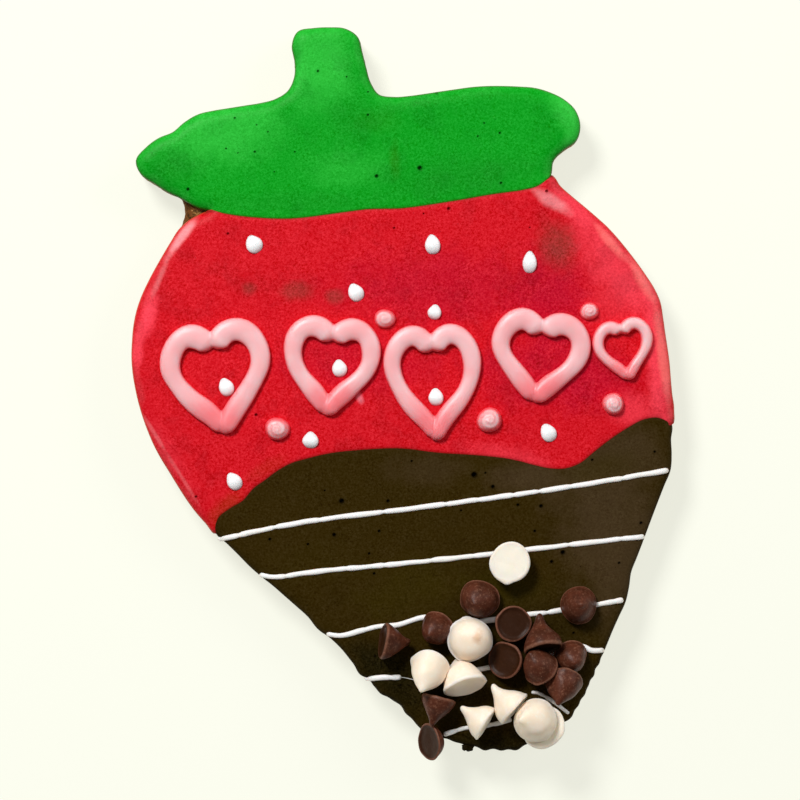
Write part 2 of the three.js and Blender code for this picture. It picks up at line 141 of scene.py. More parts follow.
# Paler red: mostly painted highlights along the rims, partly paler tone inside.
RED_PALE_AND_HIGHLIGHTS = [
    [40.6, 6, 4, 36, 4, 0.9], [27.5, 29.5, 14, 3.6, -42, 0.7], [33.8, 20.5, 8, 22, 37, 0.7],
    [35, 15, 12, 12, 0, 0.3], [-40.8, 12.6, 3.2, 9, -16, 1], [-42.4, 7, 2.2, 8, -4, 0.8],
    [-37.5, -9.5, 4, 16, 32, 0.2], [36.5, -2.5, 9, 6, 0, 0.5], [16, -10, 18, 4, -12, 0.4],
]
# Painted highlights: pale streaks where light catches the red icing's shoulders.
RED_HIGHLIGHT_STREAKS = [
    [-35.6, 24.8, 1.7, 9, -36, 0.8], [-38.9, 18.5, 1.2, 8, -22, 0.3], [23.8, 30.9, 2.4, 7.5, 56, 0.6],
    [-40, -6, 0.8, 8, 32, 0.22], [-35.5, -13.2, 0.8, 11, 32, 0.2],
]
# Painted highlights: bright bands along the red icing's rounded right rim.
RED_RIM_HIGHLIGHTS = [[33.2, 24.2, 1.8, 9, 40, 0.9], [38.3, 18.2, 2, 9.5, 30, 0.9], [41.5, 6.9, 2, 20, 8, 0.9]]
# Deeper red: partly painted shade round the piped hearts, partly deeper tone.
RED_DEEP_AND_SHADED = [
    [23.5, 15, 14, 18, 0, 0.7], [6, 17, 40, 14, 0, 0.5], [31, 2, 16, 12, 0, 0.5], [22, 4, 26, 14, 0, 0.6],
    [-8, 5, 30, 12, 0, 0.4],
]
RED_DULL = [[-28.4, -18.4, 4, 9, -44, 0.8], [-22, -12, 3, 8, -60, 0.4], [-37.6, -13.2, 1.2, 20, 32, 0.5]]
GREASE_MARKS = [
    [24.6, 23.6, 6.6, 9.6, 10, 0.62], [-24.6, 16.9, 2.8, 2.6, 0, 0.5], [-17.1, 16.4, 6, 3.4, 0, 0.5],
    [-11, 15.6, 3.4, 2.8, 0, 0.5],
]
SCUFFS = [[-6.9, -0.8, 1.4, 2.4, 20, 0.7], [-2.4, 4.1, 0.9, 1.6, 40, 0.6], [3.8, 7.6, 1.4, 0.6, 10, 0.6]]
CHOCOLATE_WARM = [
    [33, -20, 20, 40, 12, 0.9], [20, -13.5, 16, 6, 0, 0.9], [38, -9, 12, 8, 0, 0.6],
    [36, -28, 8, 14, -20, 0.8], [4, -12, 16, 6, 0, 0.5],
]
CHOCOLATE_OLIVE = [
    [1, -31, 20, 10, 20, 0.6], [16, -31, 16, 8, 0, 0.7], [-14, -27, 14, 7, 0, 0.2],
    [32, -12, 14, 6, 10, 0.4],
]
# Darker chocolate icing: partly painted shade round and among the chips, partly darker tone.
CHOCOLATE_DEEP_AND_SHADED = [
    [-3, -45, 18, 10, -45, 0.9], [12, -57, 26, 9, 0, 0.9], [6, -47, 22, 14, 0, 0.5],
    [20, -40, 22, 18, 0, 0.35],
]
# Painted shade in the dent at one white chip's peak: [x, y, width, height, turn, strength].
CHIP_DENT_SHADE = [[11.9, -38.6, 1.8, 2.6, -20, 0.5]]  # on the white chips

# ---- what lies on the icing, in millimetres ----

# Seeds: middle, width, length, and the direction of the pointed end in degrees.
SEEDS = [
    [-23.8, 24.1, 2.7, 3.3, 120], [4.6, 24, 2.5, 3.5, 96], [-7.5, 16.4, 2.5, 3.3, 118],
    [20.2, 21.2, 2.3, 3.9, 88], [5, 13.2, 2.2, 2.7, 80], [-28.3, 1.2, 2.4, 3.3, 115],
    [-10.1, 4.2, 2.4, 3.1, 100], [5.2, -0.4, 2.4, 3.1, 95], [-14.9, -7.3, 2.6, 2.9, 90],
    [-27.1, -13.9, 2.4, 3.3, 125], [23.2, -6.1, 2.5, 3.4, 118],
]
SEED_HEIGHT = 0.85
SUNK = 0.2  # how deep seeds and drizzle reach into the icing

# Drizzle: each line's width, and the points that it runs through.
DRIZZLE = [
    [
        0.86, [-29.7, -23.4], [-19.6, -21.2], [-12.2, -20], [-0.5, -18.6], [19.1, -16], [29.7, -14.4],
        [42.7, -12.2],
    ],
    [
        0.84, [-23.1, -28.9], [-20.8, -29.3], [-13.4, -28.4], [-0.5, -27.2], [13.6, -25.7], [28.1, -24],
        [38.8, -22.8],
    ],
    [
        0.84, [-12.4, -38.4], [-10.2, -38.7], [-6.6, -37.9], [-4.3, -37.3], [-0.7, -36.95], [3.7, -35.75],
        [8.5, -37.2], [12.9, -36.4], [24.8, -34.7], [35.4, -33],
    ],
    [0.84, [-6.2, -45.6], [-4.3, -45.5], [-0.2, -45.3]],
    [0.15, [-0.5, -45.3], [0.6, -45.5], [2.6, -46.1]],
    [0.84, [5, -45.6], [13.1, -43.9], [17.3, -42.9]],
    [0.74, [6.4, -54.6], [9.9, -53.5], [13.4, -53.1], [17.5, -52.1]],
    [0.6, [20.4, -47.8], [21.6, -47.9], [23.1, -48.6], [26.7, -51.3]],
    [0.84, [21.8, -42], [28.5, -40.4], [30.2, -41.1], [32.4, -41]],
]
DRIZZLE_HEIGHT = 0.46

# Hearts: width of the stroke as a share of the heart's, and turn in degrees. Each fits its node's box.
HEARTS = [[0.194, 8], [0.203, -5], [0.195, 3], [0.204, -7], [0.2, 10]]
DOTS = 5  # how many there are

# Chips: width in millimetres; the way the peak points, as direction and rise in degrees; the bend of
# its tip, as direction and share; the height as a share of the width; how domed it is, from 0 for a
# drawn-out peak to 1; and a nub on its rim, as direction and share.
CHIPS = {
    "dark": [
        [6.3, 216, 80, 225, 0.08, 0.72, 0.9, 200, 0.05], [5.4, 219, 68, 200, 0.05, 0.76, 0.8, 20, 0.04],
        [5.8, -10, -12, 60, 0.1, 0.8, 0.25, 150, 0.06], [5.8, 200, -80, 0, 0, 0.76, 0.5, 60, 0.05],
        [6.4, 101, -20, 330, 0.1, 0.96, 0, 230, 0.05], [5.4, -55, 76, 300, 0.04, 0.76, 0.9, 10, 0.03],
        [5.9, 60, 87, 10, 0.04, 0.76, 0.6, 300, 0.04], [6.2, -106, 42, 250, 0.06, 0.82, 0.4, 80, 0.05],
        [6.1, -5, -58, 0, 0, 0.7, 0.5, 120, 0.05], [5.4, 256, 8, 230, 0.08, 0.86, 0.1, 40, 0.05],
        [5.8, 8, -38, 0, 0, 0.44, 0.8, 200, 0.03], [5.9, 128, 40, 90, 0.04, 0.76, 0.7, 260, 0.06],
    ],
    "white": [
        [6.5, -80, -86, 0, 0, 0.76, 0.5, 118, 0.11], [6.8, 108, -26, 100, 0.05, 0.78, 0.6, 30, 0.05],
        [6.6, 250, 50, 238, 0.1, 0.9, 0.55, 160, 0.04], [5.7, 150, -8, 100, 0.06, 0.9, 0, 250, 0.06],
        [6.2, 138, -8, 60, 0.08, 0.9, 0, 40, 0.06], [7, -60, -86, 0, 0, 0.76, 0.5, 200, 0.05],
        [7.3, 30, 82, 20, 0.1, 0.52, 1, 98, 0.08], [6.9, 170, 80, 172, 0.26, 0.76, 0.6, 300, 0.04],
    ],
}
# A chip's outline runs from the middle of its base to its rim, and on up to its tip: [share of the half
# width, height]. Heights on the base are shares of its hollow, and those on the side are shares of the
# chip's height.
CHIP_DISH = {"dark": 0.06, "white": 0.014}  # depth of the hollow, as a share of the chip's height
CHIP_BASE = [[0, 1], [0.45, 1], [0.74, 0.9], [0.83, 0.45], [0.9, 0]]
CHIP_PEAKED = [
    [0.96, 0.012], [1, 0.06], [0.99, 0.12], [0.93, 0.24], [0.76, 0.39], [0.53, 0.54], [0.35, 0.68],
    [0.24, 0.8], [0.19, 0.89], [0.12, 0.965], [0, 1],
]
CHIP_DOMED = [
    [0.97, 0.01], [1, 0.035], [0.99, 0.075], [0.935, 0.1], [0.9, 0.34], [0.74, 0.64], [0.5, 0.83],
    [0.27, 0.93], [0.15, 0.965], [0.07, 0.992], [0, 1],
]
CHIP_WAVES = [[0.42, (300, 400, 500)], [1.1, (350, 450, 550)]]  # unevenness: size, and seeds for x, y and z
CRUMB = [10.4, -56.7, 2, 1.2]  # the crumb of chocolate icing: middle, width and depth

# ---- the stage ----

FLOOR_WIDTH = 6  # metres
FLOOR_LEVEL = -0.02  # millimetres: a hair under the cookie, so that two faces never lie in one plane
FLOOR_GLOW = 0.75  # share of the floor's brightness that is its own
PICTURE_MIDDLE = (-0.48, -1)  # where the camera looks, in millimetres
LIGHTS = [["key", (-0.28, 0.42, 0.62), 0.24], ["side", (0.5, 0.3, 0.45), 0.35]]  # place and size in metres

# ---- what a user would change ----


def srgb(red, green, blue):
    """A screen colour, each part from 0 to 255, as linear light."""
    parts = [part / 255 for part in (red, green, blue)]
    return tuple(p / 12.92 if p <= 0.04045 else ((p + 0.055) / 1.055) ** 2.4 for p in parts)


def length(name, description, millimetres):
    return FloatProperty(name=name, description=description, default=millimetres * MM, min=0, unit="LENGTH")


def colour(name, description, *screen):
    return FloatVectorProperty(
        name=name, description=description, default=srgb(*screen), min=0, max=1, size=3, subtype="COLOR"
    )


def power(name, description, watts):
    return FloatProperty(name=name, description=description, default=watts, min=0, unit="POWER")


class CookieSizes(bpy.types.PropertyGroup):
    """How the cookie's surfaces are worked."""

    icing_step: length("Icing step", "Distance between points on the icing", 0.38)
    edge_step: length("Edge step", "Distance between points along an outline", 0.3)
    rim_width: length("Rim width", "How far in the icing's outer edge is rounded", 2.6)
    icing_spread: length("Icing spread", "How far the icing runs past its node's outline", 0.3)
    seam_width: length("Seam width", "How far in the icing is rounded where two fields meet", 0.4)
    seam_depth: length("Seam depth", "Depth of the crease where two fields meet", 0.2)
    swell: length("Swell", "How far the icing's top rises and falls", 0.07)
    crumb: length("Crumb", "How rough the baked side is", 0.09)
    piping_grain: length("Piping grain", "Size of the grid that melts piped strokes together", 0.17)


class CookieColours(bpy.types.PropertyGroup):
    """Colours of the finishes."""

    baked: colour("Baked", "The cookie's pale flat parts", 172, 132, 74)
    browned: colour("Browned", "The cookie's edges and underside", 108, 66, 28)
    green: colour("Green", "Green icing", 10, 155, 29)
    red: colour("Red", "Red icing", 209, 21, 34)
    chocolate: colour("Chocolate", "Chocolate icing", 49, 36, 5)
    pink: colour("Pink", "Piped icing", 255, 197, 199)
    white: colour("White", "Seeds and drizzle", 253, 251, 250)
    dark_chip: colour("Dark chip", "Dark chocolate", 86, 43, 27)
    white_chip: colour("White chip", "White chocolate", 255, 234, 214)


class CookieStage(bpy.types.PropertyGroup):
    """Floor, camera and lights."""

    floor: colour("Floor", "The pale floor", 254, 255, 241)
    camera_height: length("Camera height", "How far above the floor the camera hangs", 700)
    view_width: length("View width", "Width of what the camera sees at the icing's edge", 128)
    key_power: power("Key light", "Power of the main light", 5.9)
    side_power: power("Side light", "Power of the second light", 1.1)
    sky: FloatProperty(name="Sky", description="Strength of the light from all round", default=0.2, min=0)


# ---- shapes, in millimetres ----


def ripple(points, wavelength, seed, waves=14):
    """Smooth random waves over points of any dimension, from about -1 to 1."""
    rng = np.random.default_rng(seed)
    total = np.zeros(len(points))
    for _ in range(waves):
        way = rng.normal(size=points.shape[1])
        way *= 2 * math.pi / (wavelength * rng.uniform(0.7, 1.6) * np.linalg.norm(way))
        total += np.sin(points @ way + rng.uniform(0, 2 * math.pi))
    return total / math.sqrt(waves)


def ripples(points, waves):
    """Ripples side by side, one column for each (wavelength, seed)."""
    return np.column_stack([ripple(points, wavelength, seed) for wavelength, seed in waves])


def hump(values, middle, spread):
    """A smooth hill that rises from 0 to 1 at the middle and falls again."""
    return np.exp(-(((values - middle) / spread) ** 2))


def circle(count):
    """Angles evenly spaced round a full turn."""
    return 2 * math.pi * np.arange(count) / count


def heading(degrees):
    """The flat unit vector that points in a direction."""
    return np.array([math.cos(math.radians(degrees)), math.sin(math.radians(degrees))])


def node_box(node):
    """The lowest corner of a CAD node's box and the size of the box, in millimetres."""
    lowest, highest = (np.array(corner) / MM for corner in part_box(node))
    return lowest, highest - lowest


def side_ring(node, height):
    """The outline of a CAD node at a height where its side has a row of corners, seen from above.
    Where a pocket breaks the row, the outline goes straight across."""
    TOLERANCE = 0.002
    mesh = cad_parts[node].data
    keys = [tuple(round(part / MM, 3) for part in vertex.co) for vertex in mesh.vertices]
    links = {}
    for edge in mesh.edges:
        first, second = (keys[index] for index in edge.vertices)
        if first != second and max(abs(first[2] - height), abs(second[2] - height)) < TOLERANCE:
            links.setdefault(first, set()).add(second)
            links.setdefault(second, set()).add(first)
    rows, seen = [], set()
    for start in sorted(links, key=lambda key: (len(links[key]), key)):
        row, onward = [], [start] if start not in seen else []
        while onward:
            row.append(onward[0])
            seen.add(onward[0])
            onward = [key for key in sorted(links[row[-1]]) if key not in seen]
        rows.append(row)
    points = np.array(max(rows, key=len))[:, :2]
    return points if signed_area(points) > 0 else points[::-1]


def signed_area(points):
    """The area of a closed loop, less than 0 where it runs clockwise."""
    ahead = np.roll(points, -1, 0)
    return 0.5 * np.sum(points[:, 0] * ahead[:, 1] - ahead[:, 0] * points[:, 1])


def smooth_through(knots, step, closed):
    """Even points on a smooth curve (centripetal Catmull-Rom) through knots of any dimension."""
    FINE = 12  # points between two knots, before they are spaced evenly
    knots = np.asarray(knots, float)
    if closed:
        padded = np.vstack([knots[-1], knots, knots[0], knots[1]])
    else:
        padded = np.vstack([2 * knots[0] - knots[1], knots, 2 * knots[-1] - knots[-2]])
    before, start, end, beyond = (padded[i : len(padded) - 3 + i] for i in range(4))
    pairs = ((before, start), (start, end), (end, beyond))
    g0, g1, g2 = (np.linalg.norm(b - a, axis=1, keepdims=True) ** 0.5 for a, b in pairs)
    leave = ((start - before) / g0 - (end - before) / (g0 + g1) + (end - start) / g1) * g1
    arrive = ((end - start) / g1 - (beyond - start) / (g1 + g2) + (beyond - end) / g2) * g1
    rows = []
    for t in np.arange(FINE) / FINE:
        rows.append(
            (2 * t**3 - 3 * t**2 + 1) * start + (t**3 - 2 * t**2 + t) * leave
            + (3 * t**2 - 2 * t**3) * end + (t**3 - t**2) * arrive
        )
    curve = np.stack(rows, axis=1).reshape(-1, knots.shape[1])
    curve = np.vstack([curve, curve[:1] if closed else knots[-1:]])
    reach = length_along(curve)
    count = max(2, round(reach[-1] / step))
    marks = np.linspace(0, reach[-1], count + 1)[: count if closed else count + 1]
    return np.stack([np.interp(marks, reach, part) for part in curve.T], axis=1)


def wavering(knots, step, by, waves):
    """A smooth path through knots that wavers by so much, in waves of (wavelength, seed) for x and y,
    and how far along it each point lies, as a column."""
    path = smooth_through(knots, step, closed=False)
    run = np.arange(len(path), dtype=float)[:, None] * step
    return path + by * ripples(run, waves), run


def length_along(path):
    """How far along a path each of its points lies."""
    return np.concatenate([[0], np.cumsum(np.linalg.norm(np.diff(path, axis=0), axis=1))])


def inward(loop):
    """The unit vectors that point into an anticlockwise loop."""
    along = np.roll(loop, -1, 0) - np.roll(loop, 1, 0)
    along /= np.linalg.norm(along, axis=1, keepdims=True)
    return np.stack([-along[:, 1], along[:, 0]], axis=1)


def soften(values, reach):
    """A closed row of values, averaged over reach neighbours to each side."""
    window = np.ones(2 * reach + 1) / (2 * reach + 1)
    return np.convolve(np.concatenate([values[-reach:], values, values[:reach]]), window, "valid")


def distance_to(points, starts, ends):
    """How far each point is from the nearest of the segments."""
    CHUNK = 1500  # points handled at a time, to keep the memory small
    along = ends - starts
    squared = np.maximum(np.sum(along**2, axis=1), 1e-12)
    found = []
    for first in range(0, len(points), CHUNK):
        offset = points[first : first + CHUNK, None] - starts[None]
        share = np.clip(np.sum(offset * along, axis=2) / squared, 0, 1)
        found.append(np.min(np.sum((offset - share[..., None] * along) ** 2, axis=2), axis=1))
    return np.sqrt(np.concatenate(found)) if found else np.zeros(0)


def distance_to_loop(points, loop):
    return distance_to(points, loop, np.roll(loop, -1, 0))


def is_inside(points, loop):
    """Which points lie inside a closed loop."""
    inside = np.zeros(len(points), bool)
    for (x0, y0), (x1, y1) in zip(loop, np.roll(loop, -1, 0)):
        if y0 == y1:
            continue
        crosses = (points[:, 1] < y0) != (points[:, 1] < y1)
        inside ^= crosses & (points[:, 0] < x0 + (points[:, 1] - y0) * (x1 - x0) / (y1 - y0))
    return inside


def honeycomb(loop, step):
    """Points of an even triangular grid over a loop's box."""
    lowest, highest = loop.min(0), loop.max(0)
    rows = np.arange(lowest[1], highest[1], step * math.sqrt(3) / 2)
    columns = np.arange(lowest[0], highest[0], step)
    grid = np.stack(np.meshgrid(columns, rows), axis=-1)
    grid[1::2, :, 0] += step / 2
    return grid.reshape(-1, 2)


def triangulate(loop, inner):
    """Joins a loop and the points inside it into triangles: points, faces, and the loop's places."""
    NEAREST = 1e-5
    points = [Vector(p) for p in np.vstack([loop, inner]).tolist()]
    border = [list(range(len(loop)))]
    found, _, faces, origins, _, _ = geometry.delaunay_2d_cdt(points, [], border, 1, NEAREST)
    place = {index: new for new, given in enumerate(origins) for index in given}
    loop_places = [place[i] for i in range(len(loop))]
    return np.array([v[:] for v in found]), [list(face) for face in faces], loop_places


def tube(path, outward, upward, middle, around=18):
    """A closed round body along a flat path, that narrows to a point at both ends. outward and upward
    are its half width and half height at each point, and middle the height of its centre line."""
    along = np.gradient(path, axis=0)
    along /= np.linalg.norm(along, axis=1, keepdims=True)
    left = np.stack([-along[:, 1], along[:, 0]], axis=1)
    points = [[*path[0], middle[0]]]
    for i in range(1, len(path) - 1):
        for turn in circle(around):
            flat = path[i] + left[i] * math.cos(turn) * outward[i]
            points.append([*flat, middle[i] + math.sin(turn) * upward[i]])
    points.append([*path[-1], middle[-1]])
    rings = [[1 + row * around + i for i in range(around)] for row in range(len(path) - 2)]
    return np.array(points), skin([[0], *rings, [len(points) - 1]])


def skin(rings):
    """Faces between rings of point numbers, where a ring of one number closes an end."""
    faces = []
    for low, high in zip(rings, rings[1:]):
        for i in range(max(len(low), len(high))):
            a, b = low[i % len(low)], low[(i + 1) % len(low)]
            c, d = high[(i + 1) % len(high)], high[i % len(high)]
            faces.append(list(dict.fromkeys([a, b, c, d])))
    return faces


def wall(loop, profile, first):
    """Rows of points round a closed loop, one for each (distance in, height), and the rows' point
    numbers, which count on from first."""
    count = len(loop)
    normals = inward(loop)
    rows = [np.column_stack([loop + normals * inset, np.full(count, level)]) for inset, level in profile]
    starts = range(first, first + len(rows) * count, count)
    return np.vstack(rows), [list(range(start, start + count)) for start in starts]


def gather(bodies):
    """Several bodies of (points, faces) as one."""
    points, faces, count = [], [], 0
    for body_points, body_faces in bodies:
        points.append(body_points)
        faces += [[index + count for index in face] for face in body_faces]
        count += len(body_points)
    return np.vstack(points), faces


def rounded_ends(path, reach):
    """Shares from 0 to 1 that round off a path's two ends over a given distance, and how far along it
    each point is, from 0 to 1."""
    run = length_along(path)
    near = np.minimum(np.minimum(run, run[-1] - run) / reach, 1)
    return np.sqrt(np.maximum(1 - (1 - near) ** 2, 0)), run / run[-1]


# ---- making pieces ----


def add_piece(name, points, faces, finish, nodes, marks=None):
    """A shaded piece from points in millimetres that stands for the CAD nodes, with marks at its points."""
    mesh = bpy.data.meshes.new(name)
    mesh.from_pydata((np.asarray(points) * MM).tolist(), [], faces)
    mesh.validate()
    for mark, values in (marks or {}).items():
        mesh.attributes.new(mark, "FLOAT", "POINT").data.foreach_set("value", np.asarray(values, np.float32))
    mesh.shade_smooth()
    add_object(name, mesh, finish, nodes)


def add_object(name, mesh, finish, nodes):
    """A piece of the cookie from a mesh, with its finish, that stands for the CAD nodes."""
    piece = bpy.data.objects.new(name, mesh)
    bpy.context.scene.collection.objects.link(piece)
    mesh.materials.append(finish)
    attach(piece, "root")
    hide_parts(*nodes)


def melted(name, points, faces, grain, smoothing):
    """The mesh of overlapping closed bodies melted into one skin, in metres."""
    rough = bpy.data.meshes.new(name + "_strokes")
    rough.from_pydata(np.asarray(points).tolist(), [], faces)
    mould = bpy.data.objects.new(name + "_mould", rough)
    bpy.context.scene.collection.objects.link(mould)
    remesh = mould.modifiers.new("melt", "REMESH")
    remesh.mode = "VOXEL"
    remesh.voxel_size = grain
    smooth = mould.modifiers.new("smooth", "SMOOTH")
    smooth.iterations = smoothing
    smooth.factor = 0.5
    evaluated = mould.evaluated_get(bpy.context.evaluated_depsgraph_get())
    mesh = bpy.data.meshes.new_from_object(evaluated)
    bpy.data.objects.remove(mould)
    bpy.data.meshes.remove(rough)
    mesh.name = name
    mesh.transform(Matrix.Scale(MM, 4))
    mesh.shade_smooth()
    return mesh


# ---- icing fields ----


class Field:
    """One field of icing: its outline, and the height of its top anywhere in it, in millimetres."""

    def __init__(self, name, sizes):
        self.name = name
        self.sizes = sizes
        height = ICING_BOTTOM + WIDEST_ICING * (ICING_TOP - ICING_BOTTOM)
        self.knots = side_ring("icing_" + name, height)
        self.loop = smooth_through(self.knots, sizes.edge_step / MM, closed=True)
        self.on_top = name != "red"

    def settle(self, others):
        """Finds where the field meets others, and draws its outline out to them."""
        BLEND = 4  # points over which the spread at a seam goes over into the one at the rim
        near = np.min([distance_to_loop(self.loop, other.knots) for other in others], axis=0)
        self.meets = near < MEETING
        spread = self.sizes.icing_spread / MM
        over = OVERLAP if self.on_top else UNDERLAP
        by = soften(np.where(self.meets, over, spread), BLEND)
        low = np.clip((RAGGED_BELOW - self.loop[:, 1]) / RAGGED_FADE, 0, 1)
        by += RAGGED * low * ripple(self.loop, 2.2, seed=5) * ~self.meets
        self.outline = self.loop - inward(self.loop) * by[:, None]
        ends = np.roll(self.outline, -1, 0)
        self.rim = (self.outline[~self.meets], ends[~self.meets])
        self.seam = (self.outline[self.meets], ends[self.meets])

    def top(self, points):
        """The top's height at each point, and how near its rim and its seams are, from 0 to 1."""
        sizes = self.sizes
        from_rim = distance_to(points, *self.rim)
        from_seam = distance_to(points, *self.seam)
        shoulder = np.clip(1 - from_rim / (sizes.rim_width / MM), 0, 1)
        share = WIDEST_ICING + (1 - WIDEST_ICING) * (1 - shoulder**ICING_ROUND) ** (1 / ICING_ROUND)
        level = ICING_TOP + sizes.swell / MM * swell(points) * (1 - shoulder)
        width, depth = sizes.seam_width / MM, sizes.seam_depth / MM
        if not self.on_top:
            width *= LOWER_SEAM["width"]
            depth *= LOWER_SEAM["depth"]
        dip = depth * np.clip(1 - from_seam / width, 0, 1) ** 2
        height = ICING_BOTTOM + (level - ICING_BOTTOM) * share - dip
        for x, y, radius in PITS[self.name]:
            away = np.hypot(points[:, 0] - x, points[:, 1] - y) / radius
            dent = PIT_DEPTH * radius * np.clip((1 - away) / PIT_WALL, 0, 1)
            height += PIT_LIP * hump(away, 1.25, 0.3) - dent
        for x, y, radius in BUBBLES[self.name]:
            away = np.hypot(points[:, 0] - x, points[:, 1] - y) / radius
            height += BUBBLE_HEIGHT * np.clip(1 - away**2, 0, 1)
        seam_mark = hump(from_seam, 0 if self.on_top else SEAM_MARK["in"], SEAM_MARK["width"])
        return height, np.clip(1 - from_rim / RIM_MARK, 0, 1), seam_mark

    def inner_points(self):
        """Points inside: rows along the edge, a grid, and rings round the pits and bubbles."""
        ROWS = [0.1, 0.22, 0.38, 0.6, 0.86, 1.16]  # how far in from the edge
        RINGS = [0.35, 0.7, 1, 1.35]  # in radii of the pit or bubble
        CORNERS = 10  # points in a ring
        step = self.sizes.icing_step / MM
        marks = PITS[self.name] + BUBBLES[self.name]
        grid = honeycomb(self.outline, step)
        grid = grid[is_inside(grid, self.outline)]
        grid = grid[distance_to_loop(grid, self.outline) > ROWS[-1] + 0.5 * step]
        for x, y, radius in marks:
            grid = grid[np.hypot(grid[:, 0] - x, grid[:, 1] - y) > RINGS[-1] * radius + 0.3 * step]
        groups = [grid]
        for row in ROWS:
            moved = self.outline + inward(self.outline) * row
            moved = moved[is_inside(moved, self.outline)]
            groups.append(moved[distance_to_loop(moved, self.outline) > 0.9 * row])
        turns = circle(CORNERS)
        round_ring = np.stack([np.cos(turns), np.sin(turns)], axis=1)
        for x, y, radius in marks:
            groups.append(np.array([[x, y]]))
            groups += [np.array([x, y]) + radius * ring * round_ring for ring in RINGS]
        return np.vstack(groups)


def swell(points):
    """The gentle rise and fall of all the icing."""
    return 0.75 * ripple(points, 17, seed=3) + 0.3 * ripple(points, 5.5, seed=4)


def icing_fields(sizes):
    """The three fields of icing by name, with their outlines settled against each other."""
    fields = {name: Field(name, sizes) for name in ("green", "red", "chocolate")}
    for field in fields.values():
        field.settle([other for other in fields.values() if other is not field])
    return fields


def ice(field, finish):
    """Makes a field of icing as a closed body."""
    flat, faces, edge = triangulate(field.outline, field.inner_points())
    height, rim, seam = field.top(flat)
    # How strongly each point takes a pit's painted shade.
    pit = np.zeros(len(flat))
    for x, y, radius in PITS[field.name]:
        away = np.hypot(flat[:, 0] - x, flat[:, 1] - y) / radius
        pit = np.maximum(pit, np.clip(PIT_MARK - away, 0, 1) * min(1, radius / DEEP_PIT))
    thickness = ICING_TOP - ICING_BOTTOM
    profile = [(inset, ICING_BOTTOM + share * thickness) for inset, share in ICING_UNDERSIDE]
    lower, rings = wall(field.outline, profile, len(flat))
    faces += skin([ring[::-1] for ring in [edge, *rings]])
    faces.append(rings[-1][::-1])
    points = np.vstack([np.column_stack([flat, height]), lower])

    def mark(values, below):
        return np.concatenate([values, np.full(len(points) - len(flat), below)])

    marks = {"pit": mark(pit, 0), "rim": mark(rim, 1), "seam": mark(seam, 0)}
    node = "icing_" + field.name
    add_piece(node + "_top", points, faces, finish, [node], marks)


# ---- finishes ----


class Wire:
    """An output socket of a material, on which arithmetic adds Math nodes."""

    def __init__(self, finish, socket):
        self.finish = finish
        self.socket = socket

    def math(self, operation, first, second=0.0):
        return self.finish.node("ShaderNodeMath", {"operation": operation}, {0: first, 1: second})

    def __add__(self, other):
        return self.math("ADD", self, other)

    def __sub__(self, other):
        return self.math("SUBTRACT", self, other)

    def __rsub__(self, other):
        return self.math("SUBTRACT", other, self)

    def __mul__(self, other):
        return self.math("MULTIPLY", self, other)

    def __truediv__(self, other):
        return self.math("DIVIDE", self, other)

    def __rtruediv__(self, other):
        return self.math("DIVIDE", other, self)

    __radd__ = __add__
    __rmul__ = __mul__


